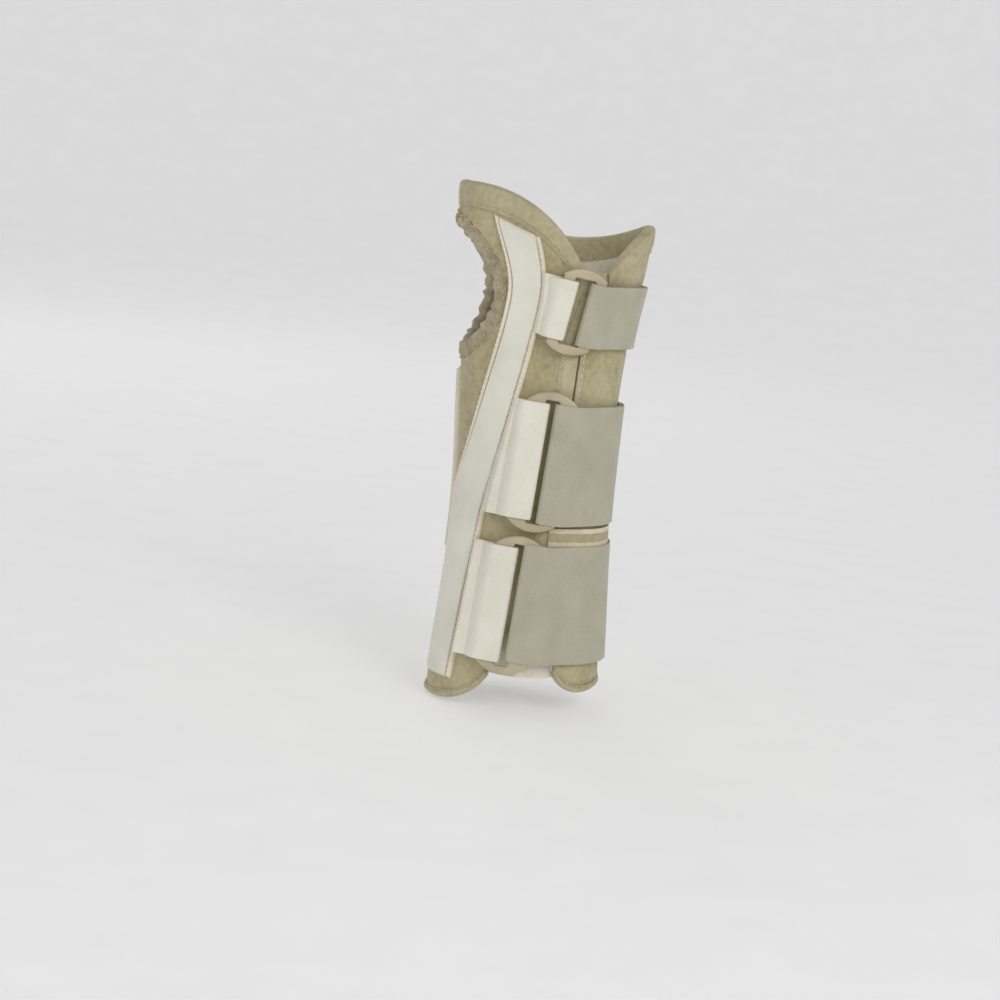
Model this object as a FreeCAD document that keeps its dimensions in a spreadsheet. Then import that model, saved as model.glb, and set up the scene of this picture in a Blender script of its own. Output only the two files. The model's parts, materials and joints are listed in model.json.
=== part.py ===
import FreeCAD, Part
import Sketcher
import math
import os

# Wrist splint worn upright: a laminated fabric sleeve round forearm, wrist and
# palm, closed over the back of the wrist by three straps that double back
# through plastic loops.
# Frame, in millimetres: +Z runs up the forearm to the fingers, -Y is the back
# of the hand, -X the thumb side.  The origin is the centre of the lower opening.

Vector = FreeCAD.Vector

doc = FreeCAD.newDocument("wrist_splint")
sheet = doc.addObject("Spreadsheet::Sheet", "Sizes")

# Sections of the sleeve's outer face: level, half width, half depth and centre.
STATIONS = [
    # level, half_width, half_depth, centre_x, centre_y
    (-12.0, 37.4, 31.8, 0.7, 0.0),
    (20.0, 35.8, 31.0, 0.6, 0.0),
    (54.0, 33.7, 30.2, 0.5, 0.0),
    (90.0, 32.5, 29.0, -0.1, 0.0),
    (132.0, 33.8, 26.9, -1.4, 0.2),
    (160.0, 35.4, 25.6, -1.8, -1.2),
    (190.0, 39.6, 24.3, -2.4, -5.6),
    (211.0, 40.7, 23.5, -2.7, -9.2),
    (232.0, 40.4, 22.8, -2.8, -12.8),
]
STATION_WORDS = ("level", "half_width", "half_depth", "centre_x", "centre_y")

DIMENSIONS = {
    # layers of the sleeve, from the outside in
    "cover_thick": 0.9, "padding_thick": 1.8, "lining_thick": 0.6, "tongue_thick": 1.2,
    "binding_thick": 0.4, "ply_gap": 0.1,
    # upper edge: thumb-side corner, little-finger corner, bottom of the vee
    "corner_radial_x": -43.0, "corner_radial_level": 218.5,
    "corner_ulnar_x": 39.0, "corner_ulnar_level": 208.5,
    "vee_shoulder_x": 10.0, "vee_shoulder_level": 189.5,
    "vee_x": 20.6, "vee_level": 186.5,
    "dorsal_edge_radius": 56.0, "palm_edge_radius": 66.0, "distal_band": 10.0,
    # lower edge: two lobes that part over the tongue
    "hem_radial_x": -33.0, "hem_radial_level": 0.8, "hem_ulnar_x": 38.0,
    "hem_ulnar_level": 12.3, "lobe_radial_x": -10.8, "lobe_radial_level": 15.0,
    "lobe_ulnar_x": 17.0, "lobe_ulnar_level": 19.0,
    "lobe_radial_radius": 29.0, "lobe_ulnar_radius": 14.0, "hem_band": 3.0,
    # leading edges of the two panels over the back of the wrist
    "edge_low_x": 11.0, "edge_low_level": 78.0, "edge_mid_x": 11.9, "edge_mid_level": 134.0,
    "edge_high_x": 12.5, "edge_high_level": 154.0, "edge_gap": 0.8,
    "radial_band": 7.0, "ulnar_band": 2.4,
    # thumb opening
    "thumb_y": -4.5, "thumb_level": 175.0, "thumb_half_long": 25.7,
    "thumb_half_short": 18.0, "thumb_tilt": 14.0, "thumb_band": 6.0,
    # tongue under the leading edges
    "tongue_left": -20.0, "tongue_right": 25.0, "tongue_bottom": 14.8, "tongue_top": 183.0,
    # pockets and the metal stays in them
    "pocket_wall": 0.5, "stay_thick": 1.0, "stay_play": 0.1, "pocket_hem": 2.6,
    "stay_inset": 2.8,
    "dorsal_top_left_x": -27.8, "dorsal_top_left_level": 206.0,
    "dorsal_top_right_x": -8.4, "dorsal_top_right_level": 199.0,
    "dorsal_bend_left_x": -19.2, "dorsal_bend_right_x": -3.4, "dorsal_bend_level": 181.0,
    "dorsal_wrist_left_x": -25.2, "dorsal_wrist_right_x": -9.6, "dorsal_wrist_level": 134.0,
    "dorsal_mid_left_x": -33.0, "dorsal_mid_right_x": -18.4, "dorsal_mid_level": 84.0,
    "dorsal_low_left_x": -40.0, "dorsal_low_right_x": -25.6, "dorsal_low_level": 10.5,
    "dorsal_side_y": -5.0,
    "radial_pocket_bottom": 62.0, "radial_pocket_top": 139.8,
    "radial_pocket_back": -1.0, "radial_pocket_front": 13.0,
    "palmar_pocket_bottom": 16.0, "palmar_neck_level": 140.0, "palmar_spoon_level": 152.0,
    "palmar_pocket_top": 186.5, "palmar_half_width": 16.0, "palmar_spoon_half": 18.2,
    "palmar_round": 6.0, "palmar_centre_x": -1.0,
    # plastic loops, webbing and straps
    "loop_thick": 2.6, "loop_lift": 2.0, "loop_end_radius": 15.0, "loop_round": 0.9,
    "bar_play": 0.2, "chafe_thick": 1.4,
    "strap_thick": 0.8, "hook_thick": 0.4, "hook_seam": 0.06, "strap_gap": 0.1,
    "joint_gap": 0.35, "hook_length": 24.0, "strap_end_x": 26.0, "strap_root_x": 18.5,
    # reach of a cutting block past the sleeve
    "cut_reach": 90.0,
}

# Loop, chafe and strap sets from the fingers down to the forearm.  Loop sizes are
# measured from the loop's own centre: x across it, y along it.
SETS = {
    "hand": {"loop_x": 8.9, "loop_level": 171.0, "loop_tilt": 9.0, "half_wide": 9.3,
             "half_straight": 15.0, "window_half_wide": 4.4, "window_half_long": 14.0,
             "chafe_half": 12.5, "chafe_start": -12.4,
             "strap_bottom": 156.0, "strap_top": 182.2, "root_top": 182.2},
    "wrist": {"loop_x": 2.4, "loop_level": 107.2, "loop_tilt": 3.4, "half_wide": 11.0,
              "half_straight": 24.7, "window_half_wide": 2.9, "window_half_long": 25.8,
              "chafe_half": 24.4, "chafe_start": -12.7,
              "strap_bottom": 81.4, "strap_top": 131.4, "root_top": 131.4},
    "forearm": {"loop_x": -3.4, "loop_level": 46.4, "loop_tilt": 3.6, "half_wide": 11.0,
                "half_straight": 24.7, "window_half_wide": 2.9, "window_half_long": 25.8,
                "chafe_half": 24.4, "chafe_start": -14.2,
                "strap_bottom": 22.6, "strap_top": 72.6, "root_top": 79.9},
}


def write_sheet():
    """Puts every driving dimension into one aliased cell."""
    entries = dict(DIMENSIONS)
    for number, station in enumerate(STATIONS, 1):
        entries.update({f"{word}_{number}": v for word, v in zip(STATION_WORDS, station)})
    for place, values in SETS.items():
        entries.update({f"{place}_{word}": v for word, v in values.items()})
    for row, (alias, number) in enumerate(entries.items(), 1):
        sheet.set(f"A{row}", alias)
        sheet.set(f"B{row}", str(number))
        sheet.setAlias(f"B{row}", alias)
    doc.recompute()


def is_number(word):
    """True for a plain number, false for an alias."""
    return word.replace(".", "", 1).isdigit()


def bound(expression):
    """The sheet's form of a sum of aliases and numbers written with spaces."""
    words = expression.split()
    return " ".join(w if w in "+-" or is_number(w) else f"Sizes.{w}" for w in words)


def size(expression):
    """The value of a sum of aliases and numbers written with spaces."""
    total, sign = 0.0, 1.0
    for word in expression.split():
        if word in "+-":
            sign = 1.0 if word == "+" else -1.0
        else:
            total += sign * (float(word) if is_number(word) else float(getattr(sheet, word)))
    return total


# ---------------------------------------------------------------- building blocks

lofts = {}


def sleeve_solid(grown):
    """Solid through all the stations, with each ellipse grown by a named amount."""
    if grown in lofts:
        return lofts[grown]
    index = len(lofts) + 1
    ellipses = []
    for number in range(1, len(STATIONS) + 1):
        ellipse = doc.addObject("Part::Ellipse", f"Level{index}_{number}")
        ellipse.setExpression("MajorRadius", bound(f"half_width_{number} + {grown}"))
        ellipse.setExpression("MinorRadius", bound(f"half_depth_{number} + {grown}"))
        ellipse.setExpression("Placement.Base.x", bound(f"centre_x_{number}"))
        ellipse.setExpression("Placement.Base.y", bound(f"centre_y_{number}"))
        ellipse.setExpression("Placement.Base.z", bound(f"level_{number}"))
        ellipses.append(ellipse)
    loft = doc.addObject("Part::Loft", f"Sleeve{index}")
    loft.Sections = ellipses
    loft.Solid = True
    lofts[grown] = loft
    return loft


def cut(name, base, tool):
    """Base less tool."""
    result = doc.addObject("Part::Cut", name)
    result.Base, result.Tool = base, tool
    return result


def common(name, base, tool):
    """What base and tool share."""
    result = doc.addObject("Part::Common", name)
    result.Base, result.Tool = base, tool
    return result


def fuse(name, shapes):
    """The shapes joined."""
    result = doc.addObject("Part::MultiFuse", name)
    result.Shapes = shapes
    return result


def layer(name, outside, inside):
    """Tube between two grown copies of the sleeve."""
    return cut(name, sleeve_solid(outside), sleeve_solid(inside))


def arc_between(p, q, radius, side):
    """Arc from p to q, with its middle to the right of the way (side 1) or left (-1)."""
    half = (q - p) * 0.5
    reach = math.sqrt(max(radius ** 2 - half.Length ** 2, 0.0))
    across = Vector(-half.y, half.x, 0).normalize()
    centre = p + half + across * reach * side
    circle = Part.Circle(centre, Vector(0, 0, 1), radius)
    ends = (p, q) if side > 0 else (q, p)
    angles = [math.atan2(e.y - centre.y, e.x - centre.x) for e in ends]
    return Part.ArcOfCircle(circle, angles[0], angles[1])


def draw(sketch, points, arcs):
    """Closed outline through points held to the sheet; arcs maps a side to (radius, bend)."""
    first = sketch.GeometryCount
    places = [Vector(size(x), size(y), 0) for x, y in points]
    count = len(places)
    starts, ends = [], []
    for side in range(count):
        p, q = places[side], places[(side + 1) % count]
        bend = arcs[side][1] if side in arcs else 1
        if side in arcs:
            sketch.addGeometry(arc_between(p, q, size(arcs[side][0]), bend), False)
        else:
            sketch.addGeometry(Part.LineSegment(p, q), False)
        starts.append(1 if bend > 0 else 2)
        ends.append(2 if bend > 0 else 1)
    for side in range(count):
        after = (side + 1) % count
        sketch.addConstraint(Sketcher.Constraint(
            "Coincident", first + side, ends[side], first + after, starts[after]))
    for side, (x, y) in enumerate(points):
        for kind, place, text in (("DistanceX", places[side].x, x),
                                  ("DistanceY", places[side].y, y)):
            held = sketch.addConstraint(
                Sketcher.Constraint(kind, -1, 1, first + side, starts[side], place))
            sketch.setExpression(f"Constraints[{held}]", bound(text))
    for side, (radius, bend) in arcs.items():
        held = sketch.addConstraint(Sketcher.Constraint("Radius", first + side, size(radius)))
        sketch.setExpression(f"Constraints[{held}]", bound(radius))


FRONT = FreeCAD.Rotation(Vector(1, 0, 0), 90)    # sketch x, y lie along +X, +Z
FLOOR = FreeCAD.Rotation()                       # sketch x, y lie along +X, +Y


def prism(name, points, arcs, rotation, direction, length="cut_reach", lift="0"):
    """Straight prism on an outline; lift raises the outline along Z."""
    sketch = doc.addObject("Sketcher::SketchObject", f"{name}Outline")
    sketch.Placement = FreeCAD.Placement(Vector(), rotation)
    sketch.setExpression("Placement.Base.z", bound(lift))
    draw(sketch, points, arcs)
    block = doc.addObject("Part::Extrusion", name)
    block.Base = sketch
    block.DirMode = "Custom"
    block.Dir = direction
    block.Solid = True
    block.setExpression("LengthFwd", bound(length))
    return block


DORSAL, PALMAR = Vector(0, -1, 0), Vector(0, 1, 0)


# ---------------------------------------------------------------- edges of the sleeve

def above_upper_edge(name, lift="0"):
    """Everything past the finger-side edge, raised by lift."""
    top = "level_9 + cut_reach"
    back = [("0 - cut_reach", "corner_radial_level"), ("corner_radial_x", "corner_radial_level"),
            ("vee_shoulder_x", "vee_shoulder_level"), ("vee_x", "vee_level"),
            ("corner_ulnar_x", "corner_ulnar_level"), ("cut_reach", "corner_ulnar_level"),
            ("cut_reach", top), ("0 - cut_reach", top)]
    palm = [("0 - cut_reach", "corner_radial_level"), ("corner_radial_x", "corner_radial_level"),
            ("corner_ulnar_x", "corner_ulnar_level"), ("cut_reach", "corner_ulnar_level"),
            ("cut_reach", top), ("0 - cut_reach", top)]
    return fuse(name, [
        prism(f"{name}Back", back, {1: ("dorsal_edge_radius", -1)}, FRONT, DORSAL, lift=lift),
        prism(f"{name}Palm", palm, {1: ("palm_edge_radius", 1)}, FRONT, PALMAR, lift=lift)])


def below_lower_edge(name, lift="0"):
    """Everything past the elbow-side edge, raised by lift."""
    bottom = "level_1 - cut_reach"
    back = [("0 - cut_reach", "hem_radial_level"), ("hem_radial_x", "hem_radial_level"),
            ("lobe_radial_x", "lobe_radial_level"), ("lobe_ulnar_x", "lobe_ulnar_level"),
            ("hem_ulnar_x", "hem_ulnar_level"), ("cut_reach", "hem_ulnar_level"),
            ("cut_reach", bottom), ("0 - cut_reach", bottom)]
    palm = [("0 - cut_reach", "hem_radial_level"), ("hem_radial_x", "hem_radial_level"),
            ("hem_ulnar_x", "hem_ulnar_level"), ("cut_reach", "hem_ulnar_level"),
            ("cut_reach", bottom), ("0 - cut_reach", bottom)]
    rounds = {1: ("lobe_radial_radius", 1), 3: ("lobe_ulnar_radius", 1)}
    return fuse(name, [
        prism(f"{name}Back", back, rounds, FRONT, DORSAL, lift=lift),
        prism(f"{name}Palm", palm, {}, FRONT, PALMAR, lift=lift)])


def between_leading_edges(name, radial_grow="0", ulnar_grow="0"):
    """Slot between the two panels, widened to either side by the given amounts."""
    bottom, top = "level_1 - cut_reach", "vee_level + edge_gap"
    left = [("lobe_radial_x", bottom), ("lobe_radial_x", "lobe_radial_level"),
            ("edge_low_x", "edge_low_level"), ("edge_mid_x", "edge_mid_level"),
            ("edge_high_x", "edge_high_level"), ("vee_x", top)]
    right = [("vee_x + edge_gap", top), ("edge_high_x + edge_gap", "edge_high_level"),
             ("edge_mid_x + edge_gap", "edge_mid_level"),
             ("edge_low_x + edge_gap", "edge_low_level"),
             ("lobe_ulnar_x", "lobe_ulnar_level"), ("lobe_ulnar_x", bottom)]
    points = [(f"{x} - {radial_grow}", z) for x, z in left]
    points += [(f"{x} + {ulnar_grow}", z) for x, z in right]
    return prism(name, points, {}, FRONT, DORSAL)


def thumb_share(name):
    """Everything over the back on the thumb side of the little-finger panel's edge."""
    points = [("0 - cut_reach", "level_1 - cut_reach"), ("lobe_ulnar_x", "level_1 - cut_reach"),
              ("lobe_ulnar_x", "lobe_ulnar_level"),
              ("edge_low_x + edge_gap", "edge_low_level"),
              ("edge_mid_x + edge_gap", "edge_mid_level"),
              ("edge_high_x + edge_gap", "edge_high_level"),
              ("vee_x + edge_gap", "vee_level"), ("vee_x + edge_gap", "level_9 + cut_reach"),
              ("0 - cut_reach", "level_9 + cut_reach")]
    return prism(name, points, {}, FRONT, DORSAL)


def thumb_opening(name, grown="0"):
    """Tilted elliptic prism through the thumb side, grown by the given amount."""
    ellipse = doc.addObject("Part::Ellipse", f"{name}Outline")
    tilt = size("thumb_tilt")
    across = FreeCAD.Rotation(Vector(0, 0, 1), Vector(-1, 0, 0))
    ellipse.setExpression("MajorRadius", bound(f"thumb_half_long + {grown}"))
    ellipse.setExpression("MinorRadius", bound(f"thumb_half_short + {grown}"))
    long_way = Vector(0, -math.sin(math.radians(tilt)), math.cos(math.radians(tilt)))
    turned = across.multVec(Vector(1, 0, 0))
    spin = FreeCAD.Rotation(turned, long_way)
    ellipse.Placement = FreeCAD.Placement(
        Vector(-10, size("thumb_y"), size("thumb_level")), spin.multiply(across))
    ellipse.setExpression("Placement.Base.y", bound("thumb_y"))
    ellipse.setExpression("Placement.Base.z", bound("thumb_level"))
    block = doc.addObject("Part::Extrusion", name)
    block.Base = ellipse
    block.DirMode = "Custom"
    block.Dir = Vector(-1, 0, 0)
    block.Solid = True
    block.setExpression("LengthFwd", bound("cut_reach"))
    return block


nodes = {}


def keep(name, feature):
    """Names a finished piece and files it as a node."""
    feature.Label = name
    nodes[name] = feature
    return feature


COVER_IN = "0 - cover_thick"
PADDING_OUT = f"{COVER_IN} - ply_gap"
PADDING_IN = f"{PADDING_OUT} - padding_thick"
LINING_OUT = f"{PADDING_IN} - ply_gap"
LINING_IN = f"{LINING_OUT} - lining_thick"
CORE_OUT = "ply_gap"
CORE_IN = f"{LINING_IN} - ply_gap"
BINDING_OUT = "ply_gap + binding_thick"
BINDING_IN = f"{CORE_IN} - binding_thick"
TONGUE_OUT = f"{BINDING_IN} - ply_gap"
TONGUE_IN = f"{TONGUE_OUT} - tongue_thick"


def build_sleeve():
    """Cover panels, padding, lining and tongue, trimmed to the same edges."""
    trim = fuse("SleeveTrim", [above_upper_edge("UpperTrim"), below_lower_edge("LowerTrim"),
                               between_leading_edges("FrontTrim"), thumb_opening("ThumbTrim")])
    cover = cut("CoverTrimmed", layer("CoverTube", "0", COVER_IN), trim)
    ulnar_half = prism("UlnarHalf", [("centre_x_4", "0 - cut_reach"), ("cut_reach", "0 - cut_reach"),
                                     ("cut_reach", "cut_reach"), ("centre_x_4", "cut_reach")],
                       {}, FLOOR, Vector(0, 0, 1), "level_9 - level_1 + cut_reach", "level_1 - cut_reach")
    front_strip = thumb_share("FrontStrip")
    # The cover's back seam runs down the middle of the palm side.
    ulnar_side = cut("UlnarSide", ulnar_half, front_strip)
    keep("ulnar_cover", common("UlnarCover", cover, ulnar_side))
    keep("radial_cover", cut("RadialCover", cover, ulnar_side))
    keep("sleeve_padding", cut("Padding", layer("PaddingTube", PADDING_OUT, PADDING_IN), trim))
    keep("sleeve_lining", cut("Lining", layer("LiningTube", LINING_OUT, LINING_IN), trim))
    outline = [("tongue_left", "tongue_bottom"), ("tongue_right", "tongue_bottom"),
               ("tongue_right", "tongue_top"), ("tongue_left", "tongue_top")]
    keep("tongue", common("Tongue", layer("TongueTube", TONGUE_OUT, TONGUE_IN),
                          prism("TongueBlock", outline, {}, FRONT, DORSAL)))


def build_bindings():
    """Folded strips that close the raw edges: each one a U in section."""
    skin = layer("BindingTube", BINDING_OUT, BINDING_IN)
    core = layer("BindingCore", CORE_OUT, CORE_IN)

    def binding(name, title, edge, inner_edge, band, others):
        """Strip round the core between the band's limit and the covered edge."""
        strip = cut(f"{name}Strip", common(f"{name}Band", skin, band), edge)
        folded = cut(f"{name}Folded", strip, cut(f"{name}Core", core, inner_edge))
        return keep(title, cut(name, folded, others))

    slot = between_leading_edges("BindingSlot")
    upper_band = above_upper_edge("UpperBand", "0 - distal_band")
    lower_band = below_lower_edge("LowerBand", "hem_band")
    thumb_hole = thumb_opening("BindingThumb", "0 - binding_thick")
    binding("UpperBinding", "upper_binding", above_upper_edge("UpperLimit", "binding_thick"),
            above_upper_edge("UpperCoreLimit", "ply_gap"), upper_band, slot)
    binding("LowerBinding", "lower_binding", below_lower_edge("LowerLimit", "0 - binding_thick"),
            below_lower_edge("LowerCoreLimit", "0 - ply_gap"), lower_band, slot)
    binding("ThumbBinding", "thumb_binding", thumb_hole,
            thumb_opening("ThumbCoreLimit", "0 - ply_gap"),
            thumb_opening("ThumbBand", "thumb_band"),
            above_upper_edge("ThumbUpper", "0 - distal_band - ply_gap"))
    ends = [above_upper_edge("EdgeUpper", "0 - distal_band - ply_gap"),
            below_lower_edge("EdgeLower", "hem_band + ply_gap"), slot]
    facing = layer("EdgeTube", BINDING_OUT, CORE_OUT)
    for side, grow in (("radial", ("radial_band", "0")), ("ulnar", ("0", "ulnar_band"))):
        word = side.title()
        band = between_leading_edges(f"{word}EdgeBand", *grow)
        strip = common(f"{word}EdgeStrip", facing, band)
        keep(f"{side}_edge_binding", cut(f"{word}EdgeBinding", strip, fuse(f"{word}Ends", ends)))


# ---------------------------------------------------------------- pockets and stays

POCKET_OUT = f"{CORE_OUT} + pocket_wall + stay_play + stay_thick + stay_play + pocket_wall"
HOLLOW_OUT = f"{POCKET_OUT} - pocket_wall"
HOLLOW_IN = f"{CORE_OUT} + pocket_wall"
STAY_OUT = f"{HOLLOW_OUT} - stay_play"
STAY_IN = f"{HOLLOW_IN} + stay_play"


def dorsal_outline(inset):
    """Long tape over the back: leans from the knuckles to the thumb side of the forearm."""
    return [("dorsal_top_left_x + " + inset, "dorsal_top_left_level - " + inset),
            ("dorsal_bend_left_x + " + inset, "dorsal_bend_level"),
            ("dorsal_wrist_left_x + " + inset, "dorsal_wrist_level"),
            ("dorsal_mid_left_x + " + inset, "dorsal_mid_level"),
            ("dorsal_low_left_x + " + inset, "dorsal_low_level + " + inset),
            ("dorsal_low_right_x - " + inset, "dorsal_low_level + " + inset),
            ("dorsal_mid_right_x - " + inset, "dorsal_mid_level"),
            ("dorsal_wrist_right_x - " + inset, "dorsal_wrist_level"),
            ("dorsal_bend_right_x - " + inset, "dorsal_bend_level"),
            ("dorsal_top_right_x - " + inset, "dorsal_top_right_level - " + inset)]


def palmar_outline(inset):
    """Forearm strip that widens to a rounded spoon in the palm."""
    low, spoon, top = "palmar_half_width", "palmar_spoon_half", "palmar_pocket_top"
    levels = [f"palmar_pocket_bottom + {inset}", "palmar_neck_level", "palmar_spoon_level",
              f"{top} - palmar_round - {inset}", f"{top} - {inset}"]
    reach = [low, low, spoon, spoon, f"{spoon} - palmar_round"]
    right = [(f"palmar_centre_x + {x} - {inset}", z) for x, z in zip(reach, levels)]
    left = [(f"palmar_centre_x - {x.replace(' - ', ' + ')} + {inset}", z)
            for x, z in zip(reach, levels)]
    return right + left[::-1]


def build_pockets():
    """Tapes sewn on the cover and the aluminium stays that lie in them."""
    tube = layer("PocketTube", POCKET_OUT, CORE_OUT)
    hollow = layer("HollowTube", HOLLOW_OUT, HOLLOW_IN)
    metal = layer("StayTube", STAY_OUT, STAY_IN)
    thumb_band = thumb_opening("PocketThumb", "thumb_band + ply_gap")

    def pocket(word, outer, inner, stay):
        """Tape less its hollow, and the stay in it."""
        tape = cut(f"{word}Tape", common(f"{word}Patch", tube, outer), thumb_band)
        keep(f"{word.lower()}_stay_pocket",
             cut(f"{word}Pocket", tape, common(f"{word}Hollow", hollow, inner)))
        keep(f"{word.lower()}_stay", common(f"{word}Stay", metal, stay))

    insets = ("0", "pocket_hem", "stay_inset")
    back, side, palm = [], [], []
    for step, inset in enumerate(insets):
        block = prism(f"Dorsal{step}", dorsal_outline(inset), {}, FRONT, DORSAL)
        block.Base.setExpression("Placement.Base.y", bound(f"dorsal_side_y - {inset}"))
        back.append(block)
        rim = [("0 - cut_reach", f"radial_pocket_back + {inset}"), ("0", f"radial_pocket_back + {inset}"),
               ("0", f"radial_pocket_front - {inset}"), ("0 - cut_reach", f"radial_pocket_front - {inset}")]
        tall = f"radial_pocket_top - radial_pocket_bottom - {inset} - {inset}"
        side.append(prism(f"Radial{step}", rim, {}, FLOOR, Vector(0, 0, 1), tall,
                          f"radial_pocket_bottom + {inset}"))
        palm.append(prism(f"Palmar{step}", palmar_outline(inset), {}, FRONT, PALMAR))
    pocket("Dorsal", *back)
    pocket("Radial", *side)
    pocket("Palmar", *palm)


# ---------------------------------------------------------------- loops and straps

def section(level):
    """Centre and half sizes of the sleeve's outer face at a level."""
    outline = lofts["0"].Shape.slice(Vector(0, 0, 1), level)[0]
    box = outline.optimalBoundingBox(False)
    return ((box.XMin + box.XMax) / 2, (box.YMin + box.YMax) / 2,
            (box.XMax - box.XMin) / 2, (box.YMax - box.YMin) / 2)


def back_point(x, level, grown):
    """Point over the back of the sleeve, a distance out from the cover."""
    centre_x, centre_y, wide, deep = section(level)
    share = (x - centre_x) / (wide + grown)
    return Vector(x, centre_y - (deep + grown) * math.sqrt(max(1.0 - share ** 2, 0.0)), level)


def loop_frame(place):
    """Placement of a loop: x across, y along it, z outward, lying on the trim's face."""
    reach = {word: size(f"{place}_{word}") for word in SETS[place]}
    x, level, tilt = reach["loop_x"], reach["loop_level"], math.radians(reach["loop_tilt"])
    skin = size(BINDING_OUT)
    along, across = reach["half_straight"], reach["half_wide"]
    lean = Vector(math.sin(tilt), 0, math.cos(tilt))
    up = (back_point(x + lean.x * along, level + lean.z * along, skin)
          - back_point(x - lean.x * along, level - lean.z * along, skin)).normalize()
    side = (back_point(x + lean.z * across, level - lean.x * across, skin)
            - back_point(x - lean.z * across, level + lean.x * across, skin)).normalize()
    out = side.cross(up).normalize()
    side = up.cross(out)
    centre = back_point(x, level, skin)
    # The loop's flat underside clears the highest spot of the curved skin below it.
    highest = 0.0
    for i in range(-4, 5):
        for j in range(-4, 5):
            over = reach["half_wide"] * i / 4, (along + 4.0) * j / 4
            spot = back_point(x + over[0] * lean.z + over[1] * lean.x,
                              level - over[0] * lean.x + over[1] * lean.z, skin)
            highest = max(highest, (spot - centre).dot(out))
    origin = centre + out * highest
    return FreeCAD.Placement(FreeCAD.Matrix(side.x, up.x, out.x, origin.x,
                                            side.y, up.y, out.y, origin.y,
                                            side.z, up.z, out.z, origin.z, 0, 0, 0, 1))


def plane_of(body, role):
    """One of a body's own origin planes."""
    return next(f for f in body.Origin.OriginFeatures if f.Role == role)


def padded_body(title, role, outlines, length, raised, rounding):
    """Body padded from one sketch of closed outlines, with every edge rounded.

    A profile across the loop (XZ_Plane) is padded both ways along it, and a plan
    (XY_Plane) is padded outward from the raised level.
    """
    name = title.title().replace("_", "")
    body = doc.addObject("PartDesign::Body", name)
    sketch = body.newObject("Sketcher::SketchObject", f"{name}Sketch")
    sketch.AttachmentSupport = [(plane_of(body, role), "")]
    sketch.MapMode = "FlatFace"
    sketch.setExpression("AttachmentOffset.Base.z", bound(raised))
    doc.recompute()
    for points, arcs in outlines:
        draw(sketch, points, arcs)
    pad = body.newObject("PartDesign::Pad", f"{name}Pad")
    pad.Profile = sketch
    pad.SideType = "Symmetric" if role == "XZ_Plane" else "One side"
    pad.setExpression("Length", bound(length))
    doc.recompute()
    if rounding:
        fillet = body.newObject("PartDesign::Fillet", f"{name}Fillet")
        fillet.Base = (pad, [""])
        fillet.UseAllEdges = True
        fillet.setExpression("Radius", bound(rounding))
        body.Tip = fillet
    return keep(title, body)


def box_outline(left, right, low, high):
    """Four corners of a box."""
    return [(left, low), (right, low), (right, high), (left, high)]


BAR_LOW = "loop_lift - bar_play"
BAR_HIGH = "loop_lift + loop_thick + bar_play"


def build_loop(place):
    """Flat plastic loop with bowed ends and one long window."""
    wide, straight = f"{place}_half_wide", f"{place}_half_straight"
    slot_wide, slot_long = f"{place}_window_half_wide", f"{place}_window_half_long"
    rim = box_outline(f"0 - {wide}", wide, f"0 - {straight}", straight)
    window = box_outline(f"0 - {slot_wide}", slot_wide, f"0 - {slot_long}", slot_long)
    bows = {0: ("loop_end_radius", 1), 2: ("loop_end_radius", 1)}
    return padded_body(f"{place}_loop", "XY_Plane", [(rim, bows), (window, {})],
                       "loop_thick", "loop_lift", "loop_round")


def build_chafe(place):
    """Webbing tube that holds the loop's thumb-side bar to the sleeve."""
    bar_left, bar_right = f"0 - {place}_half_wide", f"0 - {place}_window_half_wide"
    outer = box_outline(f"{place}_chafe_start", f"{bar_right} + bar_play + chafe_thick",
                        f"{BAR_LOW} - chafe_thick", f"{BAR_HIGH} + chafe_thick")
    hole = box_outline(f"{bar_left} - bar_play", f"{bar_right} + bar_play", BAR_LOW, BAR_HIGH)
    return padded_body(f"{place}_chafe", "XZ_Plane", [(outer, {}), (hole, {})],
                       f"{place}_chafe_half + {place}_chafe_half", "0", "")


def build_fold(place):
    """The strap's turn round the loop's other bar, open toward the little finger."""
    turn, end = f"{place}_window_half_wide - bar_play", f"{place}_half_wide"
    outer_turn = f"{turn} - strap_thick"
    points = [(end, f"{BAR_LOW} - strap_thick"), (end, BAR_LOW), (turn, BAR_LOW),
              (turn, BAR_HIGH), (end, BAR_HIGH), (end, f"{BAR_HIGH} + strap_thick"),
              (outer_turn, f"{BAR_HIGH} + strap_thick"), (outer_turn, f"{BAR_LOW} - strap_thick")]
    return padded_body(f"{place}_strap_fold", "XZ_Plane", [(points, {})],
                       f"{place}_chafe_half + {place}_chafe_half", "0", "")


def ellipse_point(centre, wide, deep, turn):
    """Point on an ellipse: turn is 0 over the back and a quarter at the little finger."""
    return centre + Vector(wide * math.sin(turn), -deep * math.cos(turn), 0)


def taut_turn(start, centre, wide, deep):
    """Turn at which a line from start first touches the ellipse."""
    p, q = (start.x - centre.x) / wide, (centre.y - start.y) / deep
    return math.atan2(p, q) + math.acos(min(1.0, 1.0 / math.hypot(p, q)))


def end_turn(x, centre, wide):
    """Turn at which the ellipse reaches x on the palm side."""
    return math.pi - math.asin((x - centre.x) / wide)


def ellipse_arc(centre, wide, deep, first, last):
    """Arc of the ellipse between two turns."""
    ellipse = Part.Ellipse(centre, wide, deep)
    return Part.ArcOfEllipse(ellipse, first - math.pi / 2, last - math.pi / 2).toShape()


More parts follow.
